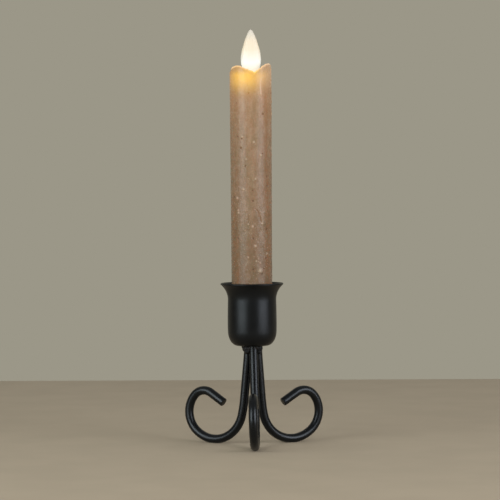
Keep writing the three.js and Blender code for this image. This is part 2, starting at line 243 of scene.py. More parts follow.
def turn_profile(name, profile, steps, centre=AXIS):
    """A profile of (radius, height) pairs, drawn point to point and spun round an upright line."""
    points = [Vector((centre[0] + radius, centre[1], height)) for radius, height in profile]
    piece = start(name, "plane", size=MM, location=points[0])
    edit(piece)
    bpy.ops.mesh.merge(type="CENTER")
    for before, after in zip(points, points[1:]):
        extrude(after - before)
    bpy.ops.mesh.select_all(action="SELECT")
    bpy.ops.mesh.spin(steps=steps, angle=FULL_TURN, center=(centre[0], centre[1], 0), axis=UP)
    clean()
    leave_edit()
    return piece


def in_metres(profile, base, way=1):
    """A profile that is given in millimetres, measured up from a height, or down with a way of -1."""
    return [(radius * MM, base + way * height * MM) for radius, height in profile]


def arc(centre, radius, start_angle, end_angle, steps):
    """Points of a round stretch of a profile, with angles in radians."""
    angles = np.linspace(start_angle, end_angle, steps + 1)
    return [(centre[0] + radius * math.cos(a), centre[1] + radius * math.sin(a)) for a in angles]


def outwards(bearing):
    """The level direction of a bearing in degrees."""
    return Vector((math.cos(math.radians(bearing)), math.sin(math.radians(bearing)), 0))


def apply_modifier(piece, kind, **settings):
    only(piece)
    modifier = piece.modifiers.new(kind.title(), kind)
    for name, value in settings.items():
        setattr(modifier, name, value)
    bpy.ops.object.modifier_apply(modifier=modifier.name)


def copy_of(model, name, matrix):
    """A copy of a piece with its own mesh, moved or turned by a matrix."""
    piece = bpy.data.objects.new(name, model.data.copy())
    piece.data.name = name
    bpy.context.collection.objects.link(piece)
    only(piece)
    piece.matrix_world = matrix
    lay_place()
    return piece


def join(name, pieces):
    only(*pieces)
    bpy.ops.object.join()
    rename(pieces[0], name)
    return pieces[0]


def combine(piece, other, operation):
    """Joins or cuts a piece with another, which is used up."""
    apply_modifier(piece, "BOOLEAN", operation=operation, object=other, solver="EXACT")
    bpy.data.objects.remove(other)


def bevel_sharp(piece, width, segments=2, angle=35):
    """Rounds the edges that are sharper than an angle in degrees."""
    limit = {"limit_method": "ANGLE", "angle_limit": math.radians(angle)}
    apply_modifier(piece, "BEVEL", width=width, segments=segments, **limit)


def block(name, size, centre):
    """A block with its three sides in millimetres."""
    return start(name, "cube", size=1, location=centre, scale=[side * MM for side in size])


def upright_block(name, width, depth, low, high, centre):
    """A block from one height to another, with its width and depth in millimetres."""
    middle = (centre[0], centre[1], (low + high) / 2)
    return block(name, (width, depth, (high - low) / MM), middle)


def rod(name, radius, ends, sides=24):
    """A straight round bar between two points."""
    run = ends[1] - ends[0]
    place = {"location": (ends[0] + ends[1]) / 2, "rotation": run.to_track_quat("Z", "Y").to_euler()}
    return start(name, "cylinder", vertices=sides, radius=radius, depth=run.length, **place)


def paint_group(piece, name, weights):
    """A vertex group for a modifier, and an attribute with its name and _mask for the material."""
    group = piece.vertex_groups.new(name=name)
    for index in np.flatnonzero(weights > LEAST_WEIGHT):
        group.add([int(index)], float(weights[index]), "REPLACE")
    attribute = piece.data.attributes.new(name + "_mask", "FLOAT", "POINT")
    attribute.data.foreach_set("value", weights.astype(np.float32))


def vertex_places(piece):
    places = np.zeros(len(piece.data.vertices) * 3)
    piece.data.vertices.foreach_get("co", places)
    return places.reshape(-1, 3)


def cylindrical(places):
    """Radius, bearing in degrees and height round the candle's axis."""
    x = places[:, 0] - AXIS.x
    y = places[:, 1] - AXIS.y
    return np.hypot(x, y), np.degrees(np.arctan2(y, x)) % 360, places[:, 2]


def displace(piece, group, strength, **settings):
    """Moves the vertices of a group along their normals, or along an axis."""
    settings = {"mid_level": 0, **settings}
    apply_modifier(piece, "DISPLACE", strength=strength, vertex_group=group, **settings)


def roughen(piece, name, size, strength, group=""):
    """Uneven surface: moves it in and out by soft noise."""
    texture = bpy.data.textures.new(name, "CLOUDS")
    texture.noise_scale = size
    displace(piece, group, strength, texture=texture, texture_coords="LOCAL", mid_level=0.5)


def set_finish(piece, name):
    piece.data.materials.clear()
    piece.data.materials.append(finish(name))


def hand_over(piece, name, body, node, angle=40):
    """Gives a finished piece its finish and its body, and hides the node that it stands for."""
    only(piece)
    bpy.ops.object.shade_smooth_by_angle(angle=math.radians(angle))
    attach(piece, body)
    set_finish(piece, name)
    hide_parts(node)


# Shader helpers
class Signal:
    """What one output of a node gives. A sum with it adds a Math node to its tree."""

    def __init__(self, socket):
        self.socket = socket
        self.tree = socket.id_data

    def __add__(self, other):
        return sums("ADD", self, other)

    def __sub__(self, other):
        return sums("SUBTRACT", self, other)

    def __mul__(self, other):
        return sums("MULTIPLY", self, other)

    def __truediv__(self, other):
        return sums("DIVIDE", self, other)


def connect(node, inputs):
    """Links the inputs that are given as signals, and sets the others as values."""
    for key, value in inputs.items():
        if isinstance(value, Signal):
            value.tree.links.new(value.socket, node.inputs[key])
        else:
            node.inputs[key].default_value = value


def put(kind, inputs, output=0, tree=None, **settings):
    """Adds a node to the tree of its input signals, and gives one of its outputs."""
    if tree is None:
        tree = next(value.tree for value in inputs.values() if isinstance(value, Signal))
    node = tree.nodes.new("ShaderNode" + kind)
    for name, value in settings.items():
        setattr(node, name, value)
    connect(node, inputs)
    return Signal(node.outputs[output])


def opaque(tint):
    return tint if isinstance(tint, Signal) else (*tint[:3], 1)


def darker(tint, share):
    return [channel * share for channel in tint]


def mix(factor, first, second, blend="MIX"):
    """A colour between two, each a signal or three numbers."""
    inputs = {0: factor, 6: opaque(first), 7: opaque(second)}
    return put("Mix", inputs, 2, data_type="RGBA", blend_type=blend)


def sums(operation, first, second=0.0, third=0.0):
    return put("Math", {0: first, 1: second, 2: third}, operation=operation)


def remap(value, low, high, to_low=0.0, to_high=1.0, kind="LINEAR"):
    inputs = {"Value": value, "From Min": low, "From Max": high, "To Min": to_low, "To Max": to_high}
    return put("MapRange", inputs, interpolation_type=kind)


def ease(value, low, high, to_low=0.0, to_high=1.0):
    return remap(value, low, high, to_low, to_high, "SMOOTHSTEP")


def span(share, least, most):
    """A share from 0 to 1, stretched from one value to another."""
    return remap(share, 0.0, 1.0, least, most)


def ramp(factor, stops):
    """A colour ramp from (place, colour) pairs."""
    signal = put("ValToRGB", {"Fac": factor})
    elements = signal.socket.node.color_ramp.elements
    while len(elements) < len(stops):
        elements.new(0.5)
    for element, (place, tint) in zip(elements, stops):
        element.position = place
        element.color = opaque(tint)
    return signal


def scaled(vector, scale, location=(0, 0, 0)):
    return put("Mapping", {"Vector": vector, "Scale": scale, "Location": location})


def noise(vector, scale, detail=2.0, roughness=0.5, distortion=0.0):
    inputs = {"Vector": vector, "Scale": scale, "Detail": detail, "Roughness": roughness}
    return put("TexNoise", {**inputs, "Distortion": distortion})


def along(vector, axis):
    """The X, Y or Z of a vector."""
    return put("SeparateXYZ", {0: vector}, axis)


def apart(vector, point):
    return put("VectorMath", {0: vector, 1: point}, operation="SUBTRACT")


def reach(vector):
    """The length of a vector."""
    return put("VectorMath", {0: vector}, "Value", operation="LENGTH")


def painted(place, name):
    """How strongly a surface lies in a group that paint_group made."""
    return put("Attribute", {}, "Fac", place.tree, attribute_name=name + "_mask")


def new_group(name, inputs, outputs):
    """An empty node group with named sockets. Returns it with its input signals and its output node."""
    group = bpy.data.node_groups.new(name, "ShaderNodeTree")
    for in_out, sockets in (("INPUT", inputs), ("OUTPUT", outputs)):
        for socket, (kind, *default) in sockets.items():
            made = group.interface.new_socket(socket, in_out=in_out, socket_type="NodeSocket" + kind)
            if default:
                made.default_value = default[0]
    given = group.nodes.new("NodeGroupInput").outputs
    return group, {key: Signal(given[key]) for key in inputs}, group.nodes.new("NodeGroupOutput")


@functools.cache
def specks_group():
    """Small round specks, such as dust or bubbles. Size and spacing are in millimetres."""
    inputs = {
        "Vector": ("Vector",),
        "Spacing": ("Float", 3),
        "Size": ("Float", 0.2),
        "Share": ("Float", 0.5),
    }
    group, given, out = new_group("Specks", inputs, {"Mask": ("Float",)})
    per_metre = sums("DIVIDE", PER_METRE, given["Spacing"])
    distance = put("TexVoronoi", {"Vector": given["Vector"], "Scale": per_metre, "Randomness": 1.0})
    cell_colour = Signal(distance.socket.node.outputs["Color"])
    inside = ease(distance, 0.0, given["Size"] / given["Spacing"], 1.0, 0.0)
    chosen = sums("LESS_THAN", put("SeparateColor", {0: cell_colour}), given["Share"])
    connect(out, {"Mask": inside * chosen})
    return group


@functools.cache
def grain_group():
    """Fine uneven grain, such as the skin of paint or moulded plastic. Size is in millimetres."""
    inputs = {
        "Vector": ("Vector",),
        "Size": ("Float", 1.0),
        "Low": ("Float", 0.0),
        "High": ("Float", 1.0),
    }
    outputs = {"Height": ("Float",), "Value": ("Float",)}
    group, given, out = new_group("Fine Grain", inputs, outputs)
    per_metre = sums("DIVIDE", PER_METRE, given["Size"])
    soft = noise(given["Vector"], per_metre, 3.0, 0.6)
    broad = noise(given["Vector"], per_metre / 9.0)
    connect(out, {"Height": soft, "Value": ease(broad, 0.3, 0.7, given["Low"], given["High"])})
    return group


@functools.cache
def mottle_group():
    """Cloudy colour of cast wax: broad patches, fine flecks and long faint streaks."""
    group, given, out = new_group(
        "Wax Mottle",
        {
            "Vector": ("Vector",),
            "Pale": ("Color", (0.36, 0.235, 0.14, 1)),
            "Red": ("Color", (0.31, 0.17, 0.095, 1)),
            "Olive": ("Color", (0.25, 0.165, 0.08, 1)),
        },
        {"Color": ("Color",), "Height": ("Float",)},
    )
    place = scaled(given["Vector"], (PER_METRE,) * 3)
    patches = noise(scaled(place, (0.16, 0.16, 0.08)), 1.0, 4.0, 0.6, 0.4)
    base = mix(ease(patches, 0.32, 0.66), given["Olive"], given["Red"])
    pale = noise(scaled(place, (0.34, 0.34, 0.2), (7, 3, 5)), 1.0, 4.0, 0.62, 0.8)
    base = mix(ease(pale, 0.4, 0.72, 0.0, 0.9), base, given["Pale"])
    fine = noise(place, 1.3, 5.0, 0.7)
    base = mix(1.0, base, remap(fine, 0.28, 0.72, 0.84, 1.13), "MULTIPLY")
    streaks = noise(scaled(place, (0.8, 0.8, 0.04)), 1.0, 3.0, 0.55)
    base = mix(1.0, base, remap(streaks, 0.3, 0.7, 0.94, 1.05), "MULTIPLY")
    lumps = noise(place, 0.55, 3.0, 0.55)
    connect(out, {"Color": base, "Height": lumps + fine * 0.3})
    return group


def place_group(group, place, **inputs):
    """Places a shared node group, and returns its outputs by name."""
    node = place.tree.nodes.new("ShaderNodeGroup")
    node.node_tree = group
    connect(node, {"Vector": place, **inputs})
    return {output.name: Signal(output) for output in node.outputs}


def grain_over(place, size, low=0.0, high=1.0):
    """Fine relief, and a cloudy value from low to high."""
    outputs = place_group(grain_group(), place, Size=size, Low=low, High=high)
    return outputs["Height"], outputs["Value"]


def specks_over(place, spacing, size, share):
    return place_group(specks_group(), place, Spacing=spacing, Size=size, Share=share)["Mask"]


def bump(height, distance):
    """Raises the surface by height, a signal from 0 to 1, times a distance in millimetres."""
    return put("Bump", {"Height": height, "Distance": distance * MM, "Strength": 1.0})


# Finishes, each of which gives the inputs of its material's shader
WORN_PAINT = (0.0078, 0.0086, 0.0095)
PAINT_DUST = (0.1, 0.104, 0.106)
PAINT_SHINE = (0.88, 0.95, 1.0, 1.0)
WELD_BROWN = (0.012, 0.0095, 0.0065)
WELD_SCALE = (0.05, 0.038, 0.025)


def black_paint(place, colours, depth, sheen, smoothness):
    """Satin paint: depth scales its colour, sheen is its reflection, smoothness its least roughness."""
    fine, cloudy = grain_over(place, size=0.55)
    dust = specks_over(place, spacing=2.6, size=0.16, share=0.5)
    base = mix(cloudy * 0.5, darker(colours.paint, depth), darker(WORN_PAINT, depth))
    return {
        "Base Color": mix(dust * 0.4, base, PAINT_DUST),
        "Roughness": span(cloudy, smoothness, smoothness + 0.06) + dust * 0.25,
        "Normal": bump(fine + dust * 0.9, 0.035),
        "Specular IOR Level": sheen,
        "Specular Tint": PAINT_SHINE,
    }


def weld_paint(place, colours):
    """Dull paint over the weld, with rusty brown in it and a little burnt scale on it."""
    fine, cloudy = grain_over(place, size=0.9)
    scale = specks_over(place, spacing=1.1, size=0.35, share=0.4)
    return {
        "Base Color": mix(scale * 0.2, mix(cloudy, colours.paint, WELD_BROWN), WELD_SCALE),
        "Roughness": span(cloudy, 0.46, 0.62),
        "Normal": bump(fine + scale, 0.08),
        "Specular IOR Level": 0.2,
    }


# The glow in the wax: a bright patch with a soft edge, and a wide faint light round it
GLOW_CENTRE = AXIS + outwards(254) * 1.1 * MM + UP * 198 * MM
GLOW_TALL = 2.6
GLOW_PATCH = 8.96 * MM
GLOW_EDGE = 8
GLOW_MOST = 0.115
GLOW_FADE = 14.6 * MM
# Heights over which the patch ends, bubbly wax turns smooth, and the painted shade low down fades out
PATCH_TOP = (197 * MM, 201.5 * MM)
BUBBLY_TOP = (112 * MM, 150 * MM)
PAINTED_SHADE_TOP = (82 * MM, 155 * MM)
# How far to the right, and how high, the flame shines through the rim
RIGHT_SIDE = (3 * MM, 9 * MM)
RIGHT_RIM = (188 * MM, 199 * MM)
NO_LIGHT = (0, 0, 0)


def glow(place, height, pits, colours):
    """Light of the lamp and the flame in the wax. Returns the bright patch and the whole light."""
    away = apart(place, GLOW_CENTRE)
    patch = reach(scaled(away, (1, 1, 1 / GLOW_TALL)))
    edge = sums("POWER", patch / GLOW_PATCH, GLOW_EDGE)
    near = remap(sums("EXPONENT", edge * -1.0), 0.0, GLOW_MOST) * ease(height, *PATCH_TOP, 1.0, 0.25)
    far = sums("EXPONENT", reach(away) / -GLOW_FADE)
    right = ease(along(away, "X"), *RIGHT_SIDE) * ease(height, *RIGHT_RIM)
    light = mix(near, NO_LIGHT, colours.glow_near)
    light = mix(far, light, colours.glow_far, "ADD")
    light = mix(painted(place, "lip"), light, colours.glow_lip, "ADD")
    light = mix(right, light, colours.glow_right, "ADD")
    # Painted shade: the light in the wax is dimmed inside the pits
    return near, mix(pits * 0.6, light, NO_LIGHT)


def candle_wax(place, colours):
    """Mottled cast wax, bubbly below and smooth above, lit from inside beside the lamp, with painted
    shade and glints.
    """
    tints = {"Pale": colours.wax_pale, "Red": colours.wax_red, "Olive": colours.wax_olive}
    mottle = place_group(mottle_group(), place, **{key: opaque(tint) for key, tint in tints.items()})
    height = along(place, "Z")
    pits = painted(place, "pits")
    broken = noise(scaled(place, (PER_METRE,) * 3), 0.75, 3.0, 0.6)
    stain = painted(place, "stain") * ease(broken, 0.36, 0.62)
    flecks = specks_over(place, spacing=2.2, size=0.2, share=0.3)
    beads = specks_over(place, spacing=1.15, size=0.36, share=0.5)
    beads *= ease(height, *BUBBLY_TOP, 1.0, 0.25)
    near, light = glow(place, height, pits, colours)
    # Painted shade: the wax is painted darker towards its foot, where less light reaches it
    base = mix(1.0, mottle["Color"], ease(height, *PAINTED_SHADE_TOP, 0.76, 1.0), "MULTIPLY")
    for share, tint in (
        (stain * 0.7, colours.stain_and_crease_shade),
        # Painted shade: the small sunk flecks are darkened with the pit colour
        (flecks * 0.45, colours.pit_shade),
        # Painted glint: the raised beads are lightened where they catch the light
        (beads * 0.42, colours.wax_lump),
        # Painted shade: the crease is darkened with the stain colour
        (painted(place, "crease") * 0.6, colours.stain_and_crease_shade),
        # Painted glint: the lumps and the ridge are lightened where they catch the light
        (painted(place, "bumps") * 0.42, colours.wax_lump),
        (painted(place, "ridge") * 0.3, colours.wax_lump),
        # Painted shade: the pits are darkened with the pit colour
        (pits, colours.pit_shade),
        (near * 0.85, colours.wax_lit),
    ):
        base = mix(share, base, tint)
    relief = mottle["Height"] * ease(height, *BUBBLY_TOP, 1.0, 0.6)
    return {
        "Base Color": base,
        "Roughness": remap(mottle["Height"], 0.3, 1.0, 0.2, 0.33) + pits * 0.5,
        "Normal": bump(relief + flecks * -0.6 + beads * 0.7, 0.2),
        "Emission Color": light,
        "Emission Strength": 1.0,
        "Subsurface Weight": 0.12,
        "Subsurface Scale": 1.2 * MM,
        "IOR": 1.5,
        "Specular IOR Level": 0.19,
    }


# The flame's own light, from a height below its tip (0) up to its tip (1)
FLAME_LIGHT_HEIGHT = 30 * MM
FLAME_LIGHT = (
    (0.0, (0.34, 0.46, 0.42)), (0.32, (0.33, 0.44, 0.44)), (0.42, (0.3, 0.38, 0.4)),
    (0.5, (0.28, 0.3, 0.26)), (0.63, (0.27, 0.21, 0.09)), (0.78, (0.25, 0.17, 0.05)),
    (0.92, (0.1, 0.09, 0.04)), (1.0, (0.03, 0.025, 0.015)),
)
FLAME_BLADE_HEIGHT = 33 * MM
FLAME_TAIL_LIGHT = (0.02, 0.012, 0.004)
FLAME_CLOUD = (0.5, 0.46, 0.41)


def milky_flame(place, colours):
    """Milky plastic that glows, faintly at its tip and hardly at all in its tail."""
    fine, cloudy = grain_over(place, size=1.2, low=0.42, high=0.5)
    height = along(place, "Z")
    foot, tip = flame_box[0].z, flame_box[1].z
    light = ramp(remap(height, tip - FLAME_LIGHT_HEIGHT, tip), FLAME_LIGHT)
    return {
        "Base Color": mix(cloudy, colours.flame, FLAME_CLOUD),
        "Roughness": cloudy,
        "Normal": bump(fine, 0.03),
        "Emission Color": mix(remap(height, foot, tip - FLAME_BLADE_HEIGHT), FLAME_TAIL_LIGHT, light),
        "Emission Strength": 1.0,
    }


PLASTIC_DUST = (0.3, 0.27, 0.22)


def moulded_plastic(place, tint, roughness):
    """Injection-moulded plastic: a fine skin, slight shade changes and a few flecks of dust."""
    fine, cloudy = grain_over(place, size=0.3)
    dust = specks_over(place, spacing=3.1, size=0.14, share=0.3)
    return {
        "Base Color": mix(dust * 0.3, mix(cloudy, tint, darker(tint, 0.8)), PLASTIC_DUST),
        "Roughness": span(cloudy, roughness - 0.05, roughness + 0.07),
        "Normal": bump(fine, 0.02),
    }


def plated_metal(place, tint, roughness):
    """Plated or drawn metal: fine scratches, cloudy shine and a little tarnish."""
    fine, cloudy = grain_over(place, size=0.7)
    scratches = noise(scaled(place, (PER_METRE, PER_METRE, 60)), 6.0)
    return {
        "Base Color": mix(cloudy * 0.6, tint, darker(tint, 0.62)),
        "Metallic": 1.0,
        "Roughness": remap(scratches, 0.3, 0.7, roughness - 0.06, roughness + 0.12),
        "Normal": bump(scratches * 0.5 + fine, 0.012),
    }


def lacquered_board(place, colours):
    """Green lacquer with a faint grid of tracks under it."""
    fine, cloudy = grain_over(place, size=0.5)
    tracks = {
        "Vector": scaled(place, (PER_METRE,) * 3),
        "Color1": opaque(colours.board),
        "Color2": (0.02, 0.17, 0.075, 1),
        "Mortar": (0.012, 0.075, 0.035, 1),
        "Scale": 0.45,
        "Mortar Size": 0.03,
    }
    return {
        "Base Color": mix(cloudy * 0.5, put("TexBrick", tracks, "Color"), colours.board),
        "Roughness": span(cloudy, 0.25, 0.4),
        "Normal": bump(fine, 0.02),
    }


LIT_DOME = 5 * MM
EPOXY_CLOUD = (0.85, 0.72, 0.45)
LAMP_BODY_LIGHT = (0.35, 0.17, 0.03)
LAMP_DOME_LIGHT = (1.0, 0.83, 0.45)


def clear_lamp(place, colours):
    """Epoxy of the lamp, lit from inside and brightest at its dome."""
    fine, cloudy = grain_over(place, size=0.6)
    top = light_box[1].z
    lit = ease(along(place, "Z"), top - LIT_DOME, top, 0.1, 1.0)
    return {
        "Base Color": mix(cloudy, colours.epoxy, EPOXY_CLOUD),
        "Roughness": span(cloudy, 0.12, 0.2),
        "Normal": bump(fine, 0.01),
        "Emission Color": mix(lit, LAMP_BODY_LIGHT, LAMP_DOME_LIGHT),
        "Emission Strength": 1.4,
    }


# The jacket's pale band above a battery's foot, and where its bare metal ends
BAND_HEIGHT = 37.5 * MM
BAND_HALF = 2 * MM
BAND_TINT = (0.42, 0.4, 0.36)
BARE_RADIUS = (4.62 * MM, 4.68 * MM)


def battery_sleeve(place, colours):
    """Shrunk plastic jacket with a plain pale band near the raised end, and bare metal at both ends."""
    fine, cloudy = grain_over(place, size=0.8)
    metal = remap(reach(scaled(apart(place, AXIS), (1, 1, 0))), *BARE_RADIUS, 1.0, 0.0)
    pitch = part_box("battery_upper")[0].z - cell_box[0].z
    height = sums("MODULO", along(place, "Z") - cell_box[0].z, pitch)
    base = mix(cloudy, colours.jacket, darker(colours.jacket, 0.7))
    base = mix(sums("COMPARE", height, BAND_HEIGHT, BAND_HALF), base, BAND_TINT)
    return {
        "Base Color": mix(metal, base, colours.steel),
        "Roughness": span(cloudy, 0.24, 0.34),
        "Metallic": sums("MAXIMUM", metal, span(cloudy, 0.3, 0.4)),
        "Normal": bump(fine, 0.015),
    }


def pale_floor(place, tint):
    _, cloudy = grain_over(place, size=4.0)
    return {"Base Color": mix(cloudy, tint, darker(tint, 0.95)), "Roughness": 0.75}


@functools.cache
def finish(name):
    """A material by its short name, made once and then shared by all pieces that have it."""
    colours = bpy.context.scene.finish_colours
    title, make, *values = {
        "paint": ("Satin black paint", black_paint, colours, 0.26, 0.26, 0.33),
        "rod_paint": ("Glossier black paint", black_paint, colours, 0.3, 0.3, 0.26),
        "weld": ("Painted weld", weld_paint, colours),
        "wax": ("Candle wax", candle_wax, colours),
        "flame": ("Milky flame plastic", milky_flame, colours),
        "ivory": ("Ivory plastic", moulded_plastic, colours.ivory, 0.42),
        "dark": ("Dark plastic", moulded_plastic, colours.dark_plastic, 0.5),
        "steel": ("Plated steel", plated_metal, colours.steel, 0.26),
        "copper": ("Enamelled copper", plated_metal, colours.copper, 0.3),
        "board": ("Lacquered board", lacquered_board, colours),
        "epoxy": ("Lamp epoxy", clear_lamp, colours),
        "jacket": ("Battery jacket", battery_sleeve, colours),
        "floor": ("Pale floor", pale_floor, colours.floor),
    }[name]
    material = bpy.data.materials.new(title)
    material.use_nodes = True
    shader = next(node for node in material.node_tree.nodes if node.type == "BSDF_PRINCIPLED")
    place = put("TexCoord", {}, "Object", material.node_tree)
    connect(shader, make(place, *values))
    return material


# Holder
# A rod's bends from its top to its end: length of a straight or radius of an arc, and turn in degrees
ROD_BENDS = (
    (1.9, 0), (60, 5.3), (22.9, 0), (64.4, 7.6), (17.7, 115.5), (13.4, 93.5), (8.2, 79.2), (9.5, 0),
)
ROD_SIDES = 32
ROD_END_ROUND = 0.35 * MM
STRAIGHT_STEP = 1.2 * MM
ARC_STEP = math.radians(3.2)
SPIN_AXIS = (0, 1, 0)
LEAN_PIVOT = UP * 60 * MM
LEGS = (("front", 269.7), ("right", 27.4), ("left", 151.3))


def drop_to_foot():
    """How far a rod's centre falls from its top to its lowest point, where it runs level."""
    heading = 0
    drop = 0
    for size, degrees in ROD_BENDS:
        turned = min(heading + math.radians(degrees), math.pi / 2)
        drop += size * (math.sin(turned) - math.sin(heading) if degrees else math.cos(heading))
        heading = turned
    return drop * MM


def bent_rod(name, sizes):
    """A rod in the XZ plane, bent outwards towards +X, from a ring that is extruded and spun."""
    heading = 0
    centre = Vector((sizes.leg_top_out, 0, sizes.rod_radius - sizes.foot_flat + drop_to_foot()))
    piece = start(name, "circle", vertices=ROD_SIDES, radius=sizes.rod_radius, location=centre)
    edit(piece)
    for millimetres, degrees in ROD_BENDS:
        size = millimetres * MM
        angle = math.radians(degrees)
        if angle:
            bend_centre = centre + size * Vector((math.cos(heading), 0, math.sin(heading)))
            steps = math.ceil(angle / ARC_STEP)
            bpy.ops.mesh.spin(steps=steps, angle=angle, center=bend_centre, axis=SPIN_AXIS)
            heading += angle
            centre = bend_centre - size * Vector((math.cos(heading), 0, math.sin(heading)))
        else:
            ahead = size * Vector((math.sin(heading), 0, -math.cos(heading)))
            steps = math.ceil(size / STRAIGHT_STEP)
            for _ in range(steps):
                extrude(ahead / steps)
            centre += ahead
    bpy.ops.mesh.edge_face_add()
    bpy.ops.mesh.bevel(offset=ROD_END_ROUND, segments=3, affect="EDGES")
    leave_edit()
    return piece


class TAPER_OT_rods(bpy.types.Operator):
    """Models the three bent rods that end in scrolls"""

    bl_idname = "taper_holder.rods"
    bl_label = "Scroll Rods"

    def execute(self, context):
        sizes = context.scene.holder_sizes
        model = bent_rod("rod_model", sizes)
        for name, bearing in LEGS:
            # From its own plane to its place in the bundle
            matrix = (
                Matrix.Translation(AXIS + Vector((sizes.bundle_aside, 0, 0)))
                @ Matrix.Rotation(math.radians(bearing), 4, "Z")
                @ Matrix.Translation(LEAN_PIVOT)
                @ Matrix.Rotation(sizes.leg_side_lean, 4, "X")
                @ Matrix.Translation(-LEAN_PIVOT)
            )
            piece = copy_of(model, "rod_" + name, matrix)
            edit(piece)
            cut_flat(0, UP)
            cut_flat(cup_bottom, -UP)
            clean()
            leave_edit()
            hand_over(piece, "rod_paint", "holder", "leg_" + name)
        bpy.data.objects.remove(model)
        return {"FINISHED"}


CUP_STEPS = 144
CORNER_STEPS = 16
INNER_CORNER_STEPS = 12
FLARE_STEPS = 12
LIP_STEPS = 6
BELLY_ROWS = 25
BELLY_EASE = 0.75
FLOOR_RINGS = (0, 0.25, 0.5, 0.75)


def cup_profile(sizes):
    """Outer side from the centre of the floor up to the lip, then the inner side down again."""
    wall = sizes.cup_wall
    corner = (sizes.cup_radius - sizes.corner_width, cup_bottom + sizes.corner_height)
    flare = (sizes.cup_neck + sizes.flare_radius, sizes.neck_height)
    flare_end = math.pi - sizes.flare_turn
    lip = arc(flare, sizes.flare_radius + wall / 2, flare_end, flare_end, 0)[0]

    def level_floor(height):
        return [(corner[0] * share, height) for share in FLOOR_RINGS]

    def rounded_corner(inset, steps):
        width, height = sizes.corner_width - inset, sizes.corner_height - inset
        quarter = arc((0, 0), 1, -math.pi / 2, 0, steps)
        return [(corner[0] + width * x, corner[1] + height * y) for x, y in quarter]

    def belly(inset):
        share = np.linspace(0, 1, BELLY_ROWS)[1:-1]
        swell = (sizes.cup_belly - sizes.cup_radius) * np.sin(math.pi * share**BELLY_EASE)
        radii = sizes.cup_radius + (sizes.cup_neck - sizes.cup_radius) * share + swell - inset
        return list(zip(radii, corner[1] + (sizes.neck_height - corner[1]) * share))

    return [
        *level_floor(cup_bottom),
        *rounded_corner(0, CORNER_STEPS),
        *belly(0),
        *arc(flare, sizes.flare_radius, math.pi, flare_end, FLARE_STEPS),
        *arc(lip, wall / 2, flare_end - math.pi, flare_end, LIP_STEPS)[1:-1],
        *arc(flare, sizes.flare_radius + wall, flare_end, math.pi, FLARE_STEPS),
        *belly(wall)[::-1],
        *rounded_corner(wall, INNER_CORNER_STEPS)[::-1],
        *level_floor(cup_bottom + wall)[::-1],
    ]


class TAPER_OT_cup(bpy.types.Operator):
    """Models the spun sheet cup with its flared lip"""

    bl_idname = "taper_holder.cup"
    bl_label = "Cup"

    def execute(self, context):
        piece = turn_profile("cup_shell", cup_profile(context.scene.holder_sizes), CUP_STEPS)
        hand_over(piece, "paint", "holder", "candle_cup", angle=50)
        return {"FINISHED"}


# The weld's beads: bearing, distance from the axis, height under the cup and radius
WELD_BEADS = (
    (200, 3.6, 0.2, 2.35), (207, 3.6, 1.6, 2.1), (214, 3.5, 2.8, 1.55), (228, 4.1, 1.2, 2.1),
    (232, 4.2, 2.6, 1.5), (300, 3.7, 0.7, 1.9), (330, 4.1, 1.2, 2.1), (332, 4.1, 3.0, 1.6),
    (92, 3.1, 0.6, 2.8), (84, 3.4, 2.8, 1.5),
)
WELD_CONE_LOW = 3.7 * MM
WELD_CONE_TOP = 4.9 * MM
WELD_CONE_HEIGHT = 4.4 * MM
WELD_VOXEL = 0.22 * MM
WELD_RIPPLE = 1.5 * MM
WELD_RIPPLE_DEPTH = 0.55 * MM


class TAPER_OT_weld(bpy.types.Operator):
    """Models the lumpy weld under the cup"""

    bl_idname = "taper_holder.weld"
    bl_label = "Weld"

    def execute(self, context):
        middle = AXIS + UP * (cup_bottom - WELD_CONE_HEIGHT / 2)
        sizes = {"radius1": WELD_CONE_LOW, "radius2": WELD_CONE_TOP, "depth": WELD_CONE_HEIGHT}
        parts = [start("weld_cone", "cone", vertices=40, location=middle, **sizes)]
        for bearing, out, below, radius in WELD_BEADS:
            place = AXIS + outwards(bearing) * out * MM + UP * (cup_bottom - below * MM)
            sizes = {"segments": 24, "ring_count": 16, "radius": radius * MM}
            parts.append(start("weld_bead_ball", "uv_sphere", location=place, **sizes))
        piece = join("painted_weld", parts)
        apply_modifier(piece, "REMESH", mode="VOXEL", voxel_size=WELD_VOXEL)
        roughen(piece, "weld_ripples", WELD_RIPPLE, WELD_RIPPLE_DEPTH)
        apply_modifier(piece, "SMOOTH", factor=0.5, iterations=3)
        edit(piece)
        cut_flat(cup_bottom, -UP)
        clean()
        leave_edit()
        hand_over(piece, "weld", "holder", "weld_bead", angle=80)
        return {"FINISHED"}


# Candle
# The melted rim: bearing and height above or below the mean, going round once
WAX_RIM = (
    (0, 1.7), (20, 0.4), (36, -0.6), (74, -1.6), (108, -0.2), (144, -0.4), (180, -0.9), (203, 0.3),
    (226, 0.8), (238, 0.6), (248, -0.35), (260, -1.1), (273, -2.0), (284, -2.75), (291, -1.9),
    (300, -0.8), (312, 0.6), (326, 1.65), (342, 1.95),
)
LOWEST_RISE = min(rise for _, rise in WAX_RIM)
HIGHEST_RISE = max(rise for _, rise in WAX_RIM)
# The rim's edge: inwards from its outer side and below its top, then outwards from its bore and below
OUTER_LIP = ((0.04, 1.5), (0.12, 1.0), (0.27, 0.6), (0.47, 0.3), (0.7, 0.1), (0.95, 0))
INNER_LIP = ((0.26, 0.12), (0.08, 0.4))
# Pits that bubbles left in the wax: bearing, height and radius
WAX_PITS = (
    (266, 188, 0.3), (229, 183, 0.28), (308, 177, 0.35), (245, 163.8, 0.3), (232, 165, 0.32),
    (242, 159, 0.35), (305, 156, 0.32), (256, 149.5, 0.28), (322, 144, 0.45), (322, 139, 0.42),
    (276, 136.5, 0.32), (218, 133, 0.35), (276, 131, 0.42), (320, 116, 0.45), (230, 111, 0.3),
    (276, 111, 0.32), (316, 100.5, 0.38), (276, 94.7, 0.38), (308, 95, 0.3), (302, 92.3, 0.3),
)
